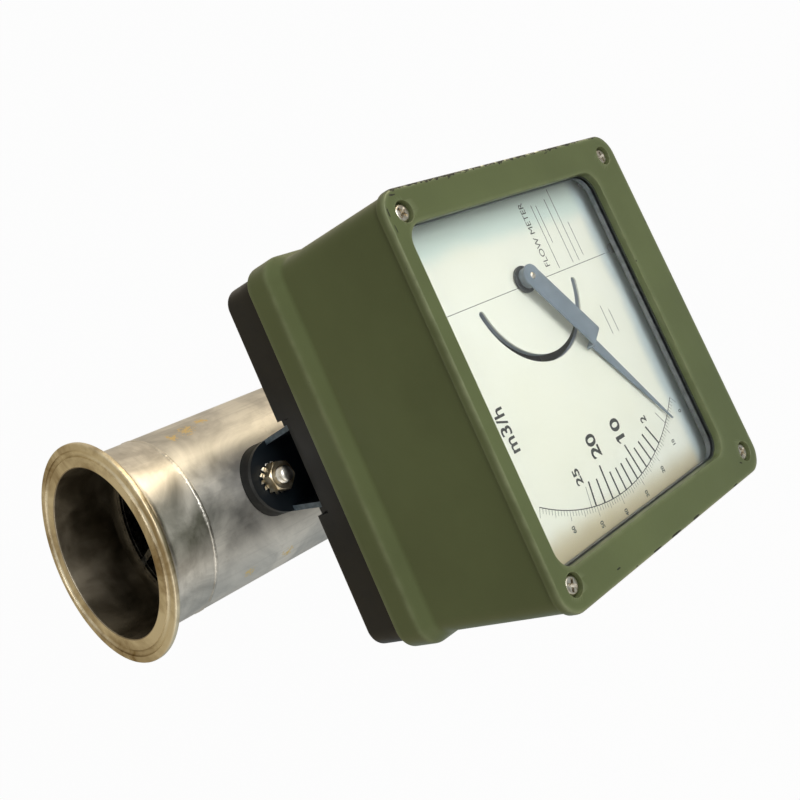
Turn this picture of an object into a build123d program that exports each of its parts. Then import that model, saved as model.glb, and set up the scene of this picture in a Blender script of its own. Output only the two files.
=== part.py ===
import os
from math import cos, pi, radians, sin, tan

from build123d import *

# Metal variable-area flow meter with clamp ends and a front indicator.
# Millimetres. The tube stands along +Z with its inlet face at z = 0, the dial faces -Y.

# Tube and clamp ends
face_to_face = 300.0
bore_radius = 41.4
tube_wall = 2.2
ferrule_length = 31.7
rim_radius = 53.0
rim_thickness = 2.85
rim_slope = 20.0
rim_round = 0.9
seal_groove_at = 48.2
seal_groove_radius = 1.6
neck_round = 2.4
bead_width = 3.2
bead_height = 0.55

# Inner parts of the tube
guide_inset = 37.6
guide_height = 12.0
guide_ring_wall = 2.6
guide_arm = 3.0
guide_arm_turn = 110.0
guide_arm_count = 3
guide_hub_wall = 1.6
snap_ring_thickness = 1.5
snap_ring_width = 3.2
snap_groove_depth = 0.9
snap_ring_gap = 16.0
inner_fit = 0.05
rod_radius = 6.0
rod_thread_radius = 4.0
rod_nut_flats = 13.0
rod_nut_height = 6.5
nut_pocket_gap = 0.9
nut_pocket_depth = 7.0
cone_throat_radius = 34.0
cone_mouth_radius = 39.4
cone_start = 135.0
cone_end = 215.0
cone_foot_wall = 2.5
cone_foot_height = 6.0

# Float
float_bottom = 95.3
float_height = 50.0
float_edge_radius = 33.4
float_edge_height = 43.0
float_edge_land = 2.0
float_nose_radius = 12.5
float_belly_radius = 27.0
float_belly_height = 20.0
float_top_radius = 24.0
float_stroke = 60.0
bush_wall = 2.5
bush_length = 14.0
magnet_inner_radius = 11.0
magnet_outer_radius = 20.0
magnet_length = 28.0
magnet_floor = 18.0
stop_gap = 0.3
sleeve_wall = 3.6

# Indicator, seen along +Y
rear_of_base = -72.0
base_depth = 20.5
base_side_step = 0.7
base_end_step = 1.2
base_corner = 9.0
base_floor = 4.0
base_wall = 4.0
base_edge_round = 1.6
gasket_thickness = 1.2
flange_side_step = 3.5
flange_end_step = 3.7
flange_corner = 11.0
flange_depth = 13.8
slope_depth = 7.3
body_half_width = 85.8
body_half_height = 82.8
body_corner = 9.0
hood_depth = 90.9
hood_wall = 4.0
hood_front_wall = 3.6
lip_step = 1.0
lip_depth = 4.5
front_round = 2.6

# Window and what holds it
window_side_margin = 14.9
window_foot_margin = 23.4
window_top_margin = 6.4
window_corner = 9.0
window_bevel = 0.5
window_gasket_thickness = 0.8
glass_thickness = 3.0
glass_overlap = 4.0
frame_thickness = 2.4
frame_side_margin = 5.2
frame_foot_margin = 7.8
shell_gap = 0.4
frame_screw_side_inset = 7.8
frame_screw_heights = (35.0, -25.0)
frame_screw_foot_inset = 13.3
frame_screw_foot_x = 35.0
frame_screw_radius = 1.5
frame_screw_head_radius = 2.6
frame_screw_head_height = 1.6
frame_boss_radius = 2.7

# Cover screws
cover_screw_side_inset = 9.4
cover_screw_end_inset = 9.5
cover_screw_radius = 2.0
cover_screw_head_radius = 3.8
cover_screw_head_height = 2.5
cover_screw_head_chamfer = 1.1
counterbore_radius = 4.8
counterbore_depth = 5.4
column_wall = 1.3
column_bite = 0.5
cover_screw_bite = 12.0
screw_hole_gap = 0.2
cross_width = 0.9
cross_length = 4.4
cross_depth = 1.3

# Dial
dial_recess = 15.0
plate_thickness = 0.8
carrier_thickness = 2.0
dial_margin = 11.8
dial_corner = 16.0
seam_gap = 0.2
seam_to_pivot = 2.5
pivot_inset = 38.1
pivot_height = 6.9
shaft_hole_radius = 4.4
slot_radius = 35.0
slot_width = 3.4
slot_start_angle = 102.0
slot_end_angle = 256.0
dial_screw_end_inset = 5.5
dial_screw_side_inset = 5.0
dial_screw_to_seam = 1.2
dial_screw_radius = 1.25
dial_screw_head_radius = 2.5
dial_screw_head_height = 1.3
dial_screw_head_chamfer = 0.5
post_side_inset = 12.0
post_end_inset = 13.0
post_radius = 4.0
post_foot_radius = 3.0
post_tip_radius = 2.0
post_bite = 6.0
post_boss_radius = 5.6
post_boss_height = 4.0

# Pointer and its shaft
pointer_rest_angle = 213.9
pointer_length = 101.3
pointer_arm_length = 43.0
pointer_arm_width = 10.2
pointer_head_radius = 5.3
pointer_sheet = 0.8
pointer_tip_base = 3.6
pointer_tip_end = 0.5
pointer_shoulder = 2.5
pointer_rise = 5.3
pointer_drop = 1.2
hub_collar_radius = 6.2
hub_collar_height = 1.3
hub_radius = 4.6
dial_clearance = 0.4
pin_height = 6.7
shaft_radius = 1.5
shaft_fit = 0.05
shaft_tail = 1.0

# Movement behind the dial
movement_half_height = 24.0
movement_width = 24.0
movement_sheet = 2.0
movement_corner = 4.0
movement_inset = 2.5
movement_gap = 14.8
movement_post_offset = 18.0
movement_post_radius = 3.5
bearing_radius = 3.5
bearing_flange_radius = 5.0
bearing_flange = 1.0
follower_reach = 36.0
follower_sheet = 1.5
follower_width = 8.0
follower_hub_radius = 4.0
follower_hub_height = 2.5
follower_eye_wall = 2.0
follower_magnet_radius = 6.0
follower_magnet_thickness = 5.0
follower_gap = 3.0
counterweight_reach = 22.0
counterweight_radius = 7.0
counterweight_thickness = 4.5

# Bracket between tube and base
channel_sheet = 2.3
channel_half_width = 17.6
channel_splay = 2.1
channel_side = 20.0
channel_lip = 14.5
channel_end_inset = 5.0
tab_overhang = 11.0
stud_inset = 1.1
stud_radius = 4.0
stud_end = 4.2
stud_end_chamfer = 1.6
stud_hole_gap = 0.4
pad_length = 43.0
pad_side_reach = 38.8
lock_washer_radius = 6.1
lock_washer_tooth = 1.5
lock_washer_teeth = 14
lock_washer_thickness = 1.2
stud_nut_flats = 13.0
stud_nut_height = 6.5
nut_chamfer = 0.9
channel_screw_x = 27.0
channel_screw_inset = 24.0
channel_screw_radius = 2.5
channel_screw_head_radius = 4.5
channel_screw_head_height = 3.0
relief_side_gap = 3.0
relief_depth = 8.5

# Worked out from the values above
middle = face_to_face / 2
base_half_width = body_half_width + base_side_step
base_half_height = body_half_height + base_end_step
flange_half_width = body_half_width + flange_side_step
flange_half_height = body_half_height + flange_end_step
window_half_width = body_half_width - window_side_margin
window_low = window_foot_margin - body_half_height
window_high = body_half_height - window_top_margin
frame_half_width = body_half_width - frame_side_margin
frame_low = frame_foot_margin - body_half_height
frame_screw_side = body_half_width - frame_screw_side_inset
frame_screw_foot = frame_screw_foot_inset - body_half_height
cover_screw_x = body_half_width - cover_screw_side_inset
cover_screw_height = body_half_height - cover_screw_end_inset
dial_half_width = body_half_width - dial_margin
dial_half_height = body_half_height - dial_margin
pivot_x = dial_half_width - pivot_inset
seam_x = pivot_x - seam_to_pivot
dial_screw_inner_x = seam_x + dial_screw_to_seam
dial_screw_outer_x = dial_half_width - dial_screw_side_inset
dial_screw_height = dial_half_height - dial_screw_end_inset
post_x = dial_half_width - post_side_inset
post_height = dial_half_height - post_end_inset
channel_half_length = base_half_height - channel_end_inset
stud_height = base_half_height - stud_inset
tab_reach = base_half_height + tab_overhang
channel_screw_height = base_half_height - channel_screw_inset
relief_half_width = channel_half_width + channel_splay + relief_side_gap
relief_rib_foot = channel_half_length - base_wall
relief_rib_top = base_half_height - base_wall / 2
tube_radius = bore_radius + tube_wall
web_front = rear_of_base + channel_side
web_back = web_front + channel_sheet
base_inside = rear_of_base - base_floor
base_front = rear_of_base - base_depth
hood_rear = base_front - gasket_thickness
hood_front = hood_rear - hood_depth
hood_inside = hood_front + hood_front_wall
glass_front = hood_inside + window_gasket_thickness
glass_back = glass_front + glass_thickness
dial_face = hood_front + dial_recess
carrier_face = dial_face + plate_thickness
carrier_back = carrier_face + carrier_thickness
movement_rear = base_front + movement_inset
movement_front = carrier_back + movement_gap
movement_depth = movement_rear - movement_front
column_radius = counterbore_radius + column_wall
screw_seat = hood_front + counterbore_depth
window_middle = (window_low + window_high) / 2
window_height = window_high - window_low
inside_half_width = body_half_width - hood_wall
inside_half_height = body_half_height - hood_wall
inside_corner = body_corner - hood_wall
float_bush_radius = rod_radius + inner_fit + bush_wall
lower_stop_top = float_bottom - stop_gap
upper_stop_foot = float_bottom + float_height + float_stroke + stop_gap
upper_guide_foot = face_to_face - guide_inset - guide_height
lower_guide_top = guide_inset + guide_height
nut_pocket_radius = rod_nut_flats / 2 / cos(pi / 6) + nut_pocket_gap
cover_screw_spots = [(side * cover_screw_x, end * cover_screw_height) for side in (-1, 1) for end in (-1, 1)]
frame_screw_spots = [(side * frame_screw_side, h) for side in (-1, 1) for h in frame_screw_heights] + [
    (side * frame_screw_foot_x, frame_screw_foot) for side in (-1, 1)
]
dial_screw_spots = [(x, end * dial_screw_height) for x in (dial_screw_inner_x, dial_screw_outer_x) for end in (-1, 1)]
post_spots = [(side * post_x, end * post_height) for side in (-1, 1) for end in (-1, 1)]
channel_screw_spots = [
    (side * channel_screw_x, end * channel_screw_height) for side in (-1, 1) for end in (-1, 1)
]
movement_post_spots = [(pivot_x, pivot_height + end * movement_post_offset) for end in (-1, 1)]

os.makedirs("parts", exist_ok=True)


# A sketch plane that looks at the dial: its x is +X, its y is +Z, and it extrudes towards -Y
def facing(y, x=0.0, height=0.0):
    return Plane(origin=(x, y, middle + height), x_dir=(1, 0, 0), z_dir=(0, -1, 0))


# The same plane centred on the pivot and turned to an angle seen from the front
def turned(y, angle):
    along = (cos(radians(angle)), 0, sin(radians(angle)))
    return Plane(origin=(pivot_x, y, middle + pivot_height), x_dir=along, z_dir=(0, -1, 0))


# Corner columns for the cover screws, filled out to the walls that they grow from
def corner_columns(wall_half_width, wall_half_height):
    reach_x = wall_half_width + column_bite - cover_screw_x
    reach_z = wall_half_height + column_bite - cover_screw_height
    with BuildSketch() as columns:
        with Locations(cover_screw_spots):
            Circle(column_radius)
        for side in (-1, 1):
            for end in (-1, 1):
                with Locations((side * (cover_screw_x + reach_x / 2), end * (cover_screw_height + reach_z / 2))):
                    Rectangle(reach_x, reach_z)
    return columns.sketch


# A clamp ferrule turned in one piece, from its face inwards, with the weld bead at its tube end
def make_ferrule(face, inward):
    def at(radius, depth):
        return (radius, face + inward * depth)

    groove_half = seal_groove_radius * sin(pi / 8)
    slope_end_radius = tube_radius + neck_round
    slope_end = rim_thickness + (rim_radius - rim_round - slope_end_radius) * tan(radians(rim_slope))
    bead_start = ferrule_length - bead_width
    with BuildPart() as ferrule:
        with BuildSketch(Plane.XZ):
            with BuildLine():
                Polyline(
                    at(bore_radius, 0),
                    at(seal_groove_at - seal_groove_radius, 0),
                    at(seal_groove_at - groove_half, seal_groove_radius),
                    at(seal_groove_at + groove_half, seal_groove_radius),
                    at(seal_groove_at + seal_groove_radius, 0),
                    at(rim_radius - rim_round, 0),
                    at(rim_radius, rim_round),
                    at(rim_radius, rim_thickness - rim_round / 2),
                    at(rim_radius - rim_round, rim_thickness),
                    at(slope_end_radius, slope_end),
                    at(tube_radius, slope_end + neck_round),
                    at(tube_radius, bead_start),
                    at(tube_radius + bead_height, bead_start + bead_width / 3),
                    at(tube_radius + bead_height, ferrule_length - bead_width / 3),
                    at(tube_radius, ferrule_length),
                    at(bore_radius, ferrule_length),
                    close=True,
                )
            make_face()
        revolve(axis=Axis.Z)
    return ferrule


# A three-armed guide: a ring in the bore, arms on edge, and a hub with a pocket for the rod's nut
def make_guide(foot, pocket_foot):
    arm_start = nut_pocket_radius
    arm_end = bore_radius - inner_fit - guide_ring_wall / 2
    with BuildPart() as guide:
        with BuildSketch(Plane.XY.offset(foot)):
            Circle(bore_radius - inner_fit)
            Circle(bore_radius - inner_fit - guide_ring_wall, mode=Mode.SUBTRACT)
            Circle(nut_pocket_radius + guide_hub_wall)
            for i in range(guide_arm_count):
                with Locations(Rotation(0, 0, guide_arm_turn + i * 360 / guide_arm_count)):
                    with Locations(((arm_start + arm_end) / 2, 0)):
                        Rectangle(arm_end - arm_start, guide_arm)
            Circle(rod_thread_radius + inner_fit, mode=Mode.SUBTRACT)
        extrude(amount=guide_height)
        with BuildSketch(Plane.XY.offset(pocket_foot)):
            Circle(nut_pocket_radius)
        extrude(amount=nut_pocket_depth, mode=Mode.SUBTRACT)
    return guide


# A spring ring with a gap, sprung into its groove in the bore
def make_snap_ring(foot):
    outer = bore_radius + snap_groove_depth - inner_fit
    with BuildPart() as ring:
        with BuildSketch(Plane.XY.offset(foot)):
            Circle(outer)
            Circle(outer - snap_ring_width, mode=Mode.SUBTRACT)
            with Locations((0, -outer)):
                Rectangle(snap_ring_gap, 2 * snap_ring_width + 2, mode=Mode.SUBTRACT)
        extrude(amount=snap_ring_thickness)
    return ring


# A round sleeve that stands on the rod
def make_sleeve(foot, top):
    with BuildPart() as sleeve:
        with BuildSketch(Plane.XY.offset(foot)):
            Circle(rod_radius + inner_fit + sleeve_wall)
            Circle(rod_radius + inner_fit, mode=Mode.SUBTRACT)
        extrude(amount=top - foot)
        chamfer(sleeve.edges().filter_by(GeomType.CIRCLE).group_by(SortBy.RADIUS)[-1], 0.6)
    return sleeve


# A plain bearing bush inside the float
def make_float_bush(foot):
    with BuildPart() as bush:
        with BuildSketch(Plane.XY.offset(foot)):
            Circle(float_bush_radius - inner_fit)
            Circle(rod_radius + inner_fit, mode=Mode.SUBTRACT)
        extrude(amount=bush_length)
    return bush


# A pad between tube and bracket: the tab's outline, hollowed to the tube's curve
def make_pad(end):
    height = end * (tab_reach - pad_length / 2)
    with BuildPart() as pad:
        with BuildSketch(facing(-pad_side_reach, 0, height)):
            SlotOverall(pad_length, 2 * channel_half_width, rotation=90)
        extrude(amount=-pad_side_reach - web_back)
        with BuildSketch(Plane.XY.offset(middle + height - pad_length)):
            Circle(tube_radius + inner_fit)
        extrude(amount=2 * pad_length, mode=Mode.SUBTRACT)
        with BuildSketch(facing(0, 0, end * stud_height)):
            Circle(stud_radius + stud_hole_gap)
        extrude(amount=-2 * web_back, mode=Mode.SUBTRACT)
    return pad


# Flow part
upper_ferrule = make_ferrule(face_to_face, -1)
upper_ferrule.part.label = "upper_ferrule"
export_step(upper_ferrule.part, "parts/upper_ferrule.step")

lower_ferrule = make_ferrule(0.0, 1)
lower_ferrule.part.label = "lower_ferrule"
export_step(lower_ferrule.part, "parts/lower_ferrule.step")

snap_groove_height = snap_ring_thickness + 2 * inner_fit
lower_snap_foot = guide_inset - snap_groove_height
upper_snap_foot = face_to_face - guide_inset
with BuildPart() as measuring_tube:
    with BuildSketch(Plane.XY.offset(ferrule_length)):
        Circle(tube_radius)
        Circle(bore_radius, mode=Mode.SUBTRACT)
    extrude(amount=face_to_face - 2 * ferrule_length)
    for foot in (lower_snap_foot, upper_snap_foot):
        with BuildSketch(Plane.XY.offset(foot)):
            Circle(bore_radius + snap_groove_depth)
        extrude(amount=snap_groove_height, mode=Mode.SUBTRACT)
measuring_tube.part.label = "measuring_tube"
export_step(measuring_tube.part, "parts/measuring_tube.step")

# Tapered bore sleeve that meters the flow past the float
with BuildPart() as metering_cone:
    with BuildSketch(Plane.XZ):
        with BuildLine():
            Polyline(
                (cone_throat_radius + cone_foot_wall, lower_guide_top),
                (bore_radius - inner_fit, lower_guide_top),
                (bore_radius - inner_fit, upper_guide_foot),
                (cone_mouth_radius, upper_guide_foot),
                (cone_mouth_radius, cone_end),
                (cone_throat_radius, cone_start),
                (cone_throat_radius, lower_guide_top + cone_foot_height),
                close=True,
            )
        make_face()
    revolve(axis=Axis.Z)
metering_cone.part.label = "metering_cone"
export_step(metering_cone.part, "parts/metering_cone.step")

lower_guide = make_guide(guide_inset, guide_inset)
lower_guide.part.label = "lower_guide"
export_step(lower_guide.part, "parts/lower_guide.step")

upper_pocket_foot = face_to_face - guide_inset - nut_pocket_depth
upper_guide = make_guide(upper_guide_foot, upper_pocket_foot)
upper_guide.part.label = "upper_guide"
export_step(upper_guide.part, "parts/upper_guide.step")

lower_snap_ring = make_snap_ring(lower_snap_foot + inner_fit)
lower_snap_ring.part.label = "lower_snap_ring"
export_step(lower_snap_ring.part, "parts/lower_snap_ring.step")

upper_snap_ring = make_snap_ring(upper_snap_foot + inner_fit)
upper_snap_ring.part.label = "upper_snap_ring"
export_step(upper_snap_ring.part, "parts/upper_snap_ring.step")

# Fixed rod between the guides, turned down and threaded where it passes their hubs
with BuildPart() as guide_rod:
    with BuildSketch(Plane.XY.offset(lower_guide_top)):
        Circle(rod_radius)
    extrude(amount=upper_guide_foot - lower_guide_top)
    with BuildSketch(Plane.XY.offset(guide_inset)):
        Circle(rod_thread_radius)
    extrude(amount=face_to_face - 2 * guide_inset)
    chamfer(guide_rod.edges().group_by(Axis.Z)[0] + guide_rod.edges().group_by(Axis.Z)[-1], 0.8)
guide_rod.part.label = "guide_rod"
export_step(guide_rod.part, "parts/guide_rod.step")

with BuildPart() as rod_nuts:
    for foot in (guide_inset + nut_pocket_depth - rod_nut_height, upper_pocket_foot):
        with BuildSketch(Plane.XY.offset(foot)):
            RegularPolygon(rod_nut_flats / 2, 6, major_radius=False)
            Circle(rod_thread_radius + inner_fit, mode=Mode.SUBTRACT)
        extrude(amount=rod_nut_height)
rod_nuts.part.label = "rod_nuts"
export_step(rod_nuts.part, "parts/rod_nuts.step")

lower_stop_sleeve = make_sleeve(lower_guide_top, lower_stop_top)
lower_stop_sleeve.part.label = "lower_stop_sleeve"
export_step(lower_stop_sleeve.part, "parts/lower_stop_sleeve.step")

upper_stop_sleeve = make_sleeve(upper_stop_foot, upper_guide_foot)
upper_stop_sleeve.part.label = "upper_stop_sleeve"
export_step(upper_stop_sleeve.part, "parts/upper_stop_sleeve.step")

# Float, turned to a conical nose and a sharp metering edge, with a magnet pocket in its top
float_top = float_bottom + float_height
pocket_floor = float_bottom + magnet_floor
with BuildPart() as float_body:
    with BuildSketch(Plane.XZ):
        with BuildLine():
            Polyline(
                (float_bush_radius, float_bottom),
                (float_nose_radius, float_bottom),
                (float_belly_radius, float_bottom + float_belly_height),
                (float_edge_radius, float_bottom + float_edge_height),
                (float_edge_radius, float_bottom + float_edge_height + float_edge_land),
                (float_top_radius, float_top),
                (magnet_outer_radius, float_top),
                (magnet_outer_radius, pocket_floor),
                (magnet_inner_radius, pocket_floor),
                (magnet_inner_radius, float_top),
                (float_bush_radius, float_top),
                close=True,
            )
        make_face()
    revolve(axis=Axis.Z)
float_body.part.label = "float_body"
export_step(float_body.part, "parts/float_body.step")

with BuildPart() as float_magnet:
    with BuildSketch(Plane.XY.offset(pocket_floor)):
        Circle(magnet_outer_radius - inner_fit)
        Circle(magnet_inner_radius + inner_fit, mode=Mode.SUBTRACT)
    extrude(amount=magnet_length)
float_magnet.part.label = "float_magnet"
export_step(float_magnet.part, "parts/float_magnet.step")

with BuildPart() as float_cover:
    with BuildSketch(Plane.XY.offset(pocket_floor + magnet_length)):
        Circle(magnet_outer_radius - inner_fit)
        Circle(magnet_inner_radius + inner_fit, mode=Mode.SUBTRACT)
    extrude(amount=float_height - magnet_floor - magnet_length)
float_cover.part.label = "float_cover"
export_step(float_cover.part, "parts/float_cover.step")

lower_float_bush = make_float_bush(float_bottom)
lower_float_bush.part.label = "lower_float_bush"
export_step(lower_float_bush.part, "parts/lower_float_bush.step")

upper_float_bush = make_float_bush(float_top - bush_length)
upper_float_bush.part.label = "upper_float_bush"
export_step(upper_float_bush.part, "parts/upper_float_bush.step")

# Bracket and its fixings
upper_saddle_pad = make_pad(1)
upper_saddle_pad.part.label = "upper_saddle_pad"
export_step(upper_saddle_pad.part, "parts/upper_saddle_pad.step")

lower_saddle_pad = make_pad(-1)
lower_saddle_pad.part.label = "lower_saddle_pad"
export_step(lower_saddle_pad.part, "parts/lower_saddle_pad.step")

# One folded sheet: a web on the tube with round ends, two splayed sides, two lips on the base
with BuildPart() as mounting_channel:
    with BuildSketch(Plane.XY.offset(middle - channel_half_length)):
        with BuildLine():
            Polyline(
                (0, web_back),
                (channel_half_width, web_back),
                (channel_half_width + channel_splay, rear_of_base + channel_sheet),
                (channel_half_width + channel_splay + channel_lip, rear_of_base + channel_sheet),
                (channel_half_width + channel_splay + channel_lip, rear_of_base),
                (channel_half_width + channel_splay - channel_sheet, rear_of_base),
                (channel_half_width - channel_sheet, web_front),
                (0, web_front),
            )
            mirror(about=Plane.YZ)
        make_face()
    extrude(amount=2 * channel_half_length)
    with BuildSketch(facing(web_back)):
        SlotOverall(2 * tab_reach, 2 * channel_half_width, rotation=90)
    extrude(amount=channel_sheet)
    with BuildSketch(facing(web_back)):
        with Locations((0, stud_height), (0, -stud_height)):
            Circle(stud_radius + stud_hole_gap)
    extrude(amount=channel_sheet, mode=Mode.SUBTRACT)
    with BuildSketch(facing(rear_of_base + channel_sheet)):
        with Locations(channel_screw_spots):
            Circle(channel_screw_radius + inner_fit)
    extrude(amount=channel_sheet, mode=Mode.SUBTRACT)
mounting_channel.part.label = "mounting_channel"
export_step(mounting_channel.part, "parts/mounting_channel.step")

# Studs welded to the tube, with rounded ends
stud_face = web_front - lock_washer_thickness - stud_nut_height
stud_tip = stud_face - stud_end
with BuildPart() as weld_studs:
    for end in (-1, 1):
        with BuildSketch(facing(-bore_radius, 0, end * stud_height)):
            Circle(stud_radius)
        extrude(amount=-bore_radius - stud_tip)
    chamfer(weld_studs.faces().sort_by(Axis.Y)[:2].edges(), stud_end_chamfer)
    with BuildSketch(Plane.XY):
        Circle(tube_radius + inner_fit / 2)
    extrude(amount=face_to_face, mode=Mode.SUBTRACT)
weld_studs.part.label = "weld_studs"
export_step(weld_studs.part, "parts/weld_studs.step")

# Toothed lock washers: every tooth is a small raked blade on the outer edge
tooth_pitch = 2 * pi * lock_washer_radius / lock_washer_teeth
with BuildPart() as lock_washers:
    for end in (-1, 1):
        with BuildSketch(facing(web_front, 0, end * stud_height)):
            Circle(lock_washer_radius)
            with PolarLocations(lock_washer_radius, lock_washer_teeth):
                with Locations(Rotation(0, 0, 18)):
                    Rectangle(2 * lock_washer_tooth, tooth_pitch * 0.5)
            Circle(stud_radius + inner_fit, mode=Mode.SUBTRACT)
        extrude(amount=lock_washer_thickness)
lock_washers.part.label = "lock_washers"
export_step(lock_washers.part, "parts/lock_washers.step")

# Hex nuts, each a chamfered blank cut to its flats
nut_seat = web_front - lock_washer_thickness
with BuildPart() as stud_nuts:
    with BuildSketch(facing(nut_seat)):
        with Locations((0, stud_height), (0, -stud_height)):
            Circle(stud_nut_flats / 2 / cos(pi / 6))
    extrude(amount=stud_nut_height)
    chamfer(stud_nuts.edges().filter_by(GeomType.CIRCLE), nut_chamfer)
    with BuildSketch(facing(nut_seat)):
        with Locations((0, stud_height), (0, -stud_height)):
            RegularPolygon(stud_nut_flats / 2, 6, major_radius=False, rotation=15)
    extrude(amount=stud_nut_height, mode=Mode.INTERSECT)
    with BuildSketch(facing(nut_seat)):
        with Locations((0, stud_height), (0, -stud_height)):
            Circle(stud_radius + inner_fit)
    extrude(amount=stud_nut_height, mode=Mode.SUBTRACT)
stud_nuts.part.label = "stud_nuts"
export_step(stud_nuts.part, "parts/stud_nuts.step")

with BuildPart() as channel_screws:
    with BuildSketch(facing(rear_of_base + channel_sheet)):
        with Locations(channel_screw_spots):
            Circle(channel_screw_radius)
    extrude(amount=channel_sheet + base_floor)
    with BuildSketch(facing(base_inside)):
        with Locations(channel_screw_spots):
            Circle(channel_screw_head_radius)
    extrude(amount=channel_screw_head_height)
channel_screws.part.label = "channel_screws"
export_step(channel_screws.part, "parts/channel_screws.step")

# Indicator base: a cast tray with screw bosses in its corners and a relief at each end for the bracket's sides
with BuildPart() as indicator_base:
    with BuildSketch(facing(rear_of_base)):
        RectangleRounded(2 * base_half_width, 2 * base_half_height, base_corner)
    extrude(amount=base_depth)
    fillet(indicator_base.faces().sort_by(Axis.Y)[-1].edges(), base_edge_round)
    with BuildSketch(facing(base_inside)):
        RectangleRounded(
            2 * (base_half_width - base_wall),
            2 * (base_half_height - base_wall),
            base_corner - base_wall,
        )
    extrude(amount=base_depth - base_floor, mode=Mode.SUBTRACT)
    with BuildSketch(facing(base_inside)):
        add(corner_columns(base_half_width - base_wall, base_half_height - base_wall))
    extrude(amount=base_depth - base_floor)
    with BuildSketch(facing(base_inside)):
        with Locations(post_spots):
            Circle(post_boss_radius)
    extrude(amount=post_boss_height)
    with BuildSketch(facing(base_inside)):
        with Locations([(0, end * (relief_rib_foot + relief_rib_top) / 2) for end in (-1, 1)]):
            Rectangle(2 * (relief_half_width + base_wall), relief_rib_top - relief_rib_foot)
    extrude(amount=relief_depth + base_wall - base_floor)
    with BuildSketch(facing(rear_of_base)):
        with Locations([(0, end * base_half_height) for end in (-1, 1)]):
            Rectangle(2 * relief_half_width, 2 * channel_end_inset)
    extrude(amount=relief_depth, mode=Mode.SUBTRACT)
    with BuildSketch(facing(base_front + cover_screw_bite + 1)):
        with Locations(cover_screw_spots):
            Circle(cover_screw_radius + inner_fit)
    extrude(amount=cover_screw_bite + 1, mode=Mode.SUBTRACT)
    with BuildSketch(facing(base_inside - post_boss_height + post_bite)):
        with Locations(post_spots):
            Circle(post_foot_radius + inner_fit)
    extrude(amount=post_bite, mode=Mode.SUBTRACT)
    with BuildSketch(facing(rear_of_base)):
        with Locations(channel_screw_spots):
            Circle(channel_screw_radius + inner_fit)
    extrude(amount=base_floor, mode=Mode.SUBTRACT)
indicator_base.part.label = "indicator_base"
export_step(indicator_base.part, "parts/indicator_base.step")

with BuildPart() as base_gasket:
    with BuildSketch(facing(base_front)):
        RectangleRounded(2 * base_half_width - 1, 2 * base_half_height - 1, base_corner - 0.5)
        RectangleRounded(
            2 * (base_half_width - base_wall),
            2 * (base_half_height - base_wall),
            base_corner - base_wall,
            mode=Mode.SUBTRACT,
        )
        add(corner_columns(base_half_width - base_wall, base_half_height - base_wall))
        with Locations(cover_screw_spots):
            Circle(cover_screw_radius + screw_hole_gap, mode=Mode.SUBTRACT)
    extrude(amount=gasket_thickness)
base_gasket.part.label = "base_gasket"
export_step(base_gasket.part, "parts/base_gasket.step")

# Hood: flange, slope and body as one casting, with screw columns inside its corners
slope_front = hood_rear - flange_depth - slope_depth
with BuildPart() as hood:
    with BuildSketch(facing(hood_rear)):
        RectangleRounded(2 * flange_half_width, 2 * flange_half_height, flange_corner)
    extrude(amount=flange_depth)
    with BuildSketch(facing(hood_rear - flange_depth)):
        RectangleRounded(2 * flange_half_width, 2 * flange_half_height, flange_corner)
    with BuildSketch(facing(slope_front)):
        RectangleRounded(2 * body_half_width, 2 * body_half_height, body_corner)
    loft()
    with BuildSketch(facing(slope_front)):
        RectangleRounded(2 * body_half_width, 2 * body_half_height, body_corner)
    extrude(amount=slope_front - hood_front)
    with BuildSketch(facing(hood_front + lip_depth)):
        RectangleRounded(
            2 * (body_half_width + lip_step), 2 * (body_half_height + lip_step), body_corner + lip_step
        )
    extrude(amount=lip_depth)
    fillet(hood.faces().sort_by(Axis.Y)[0].edges(), front_round)
    with BuildSketch(facing(hood_rear)):
        RectangleRounded(2 * inside_half_width, 2 * inside_half_height, inside_corner)
    extrude(amount=hood_depth - hood_front_wall, mode=Mode.SUBTRACT)
    with BuildSketch(facing(hood_rear)):
        add(corner_columns(inside_half_width, inside_half_height))
    extrude(amount=hood_depth - hood_front_wall)
    with BuildSketch(facing(glass_back)):
        with Locations(frame_screw_spots):
            Circle(frame_boss_radius)
    extrude(amount=window_gasket_thickness + glass_thickness)
    with BuildSketch(facing(hood_inside)):
        with Locations((0, window_middle)):
            RectangleRounded(2 * window_half_width, window_height, window_corner)
    extrude(amount=hood_front_wall, mode=Mode.SUBTRACT)
    with BuildSketch(facing(hood_rear)):
        with Locations(cover_screw_spots):
            Circle(cover_screw_radius + screw_hole_gap)
    extrude(amount=hood_depth, mode=Mode.SUBTRACT)
    with BuildSketch(facing(screw_seat)):
        with Locations(cover_screw_spots):
            Circle(counterbore_radius)
    extrude(amount=counterbore_depth, mode=Mode.SUBTRACT)
    with BuildSketch(facing(glass_back)):
        with Locations(frame_screw_spots):
            Circle(frame_screw_radius + inner_fit)
    extrude(amount=window_gasket_thickness + glass_thickness + 1, mode=Mode.SUBTRACT)
hood.part.label = "hood"
export_step(hood.part, "parts/hood.step")

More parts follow.
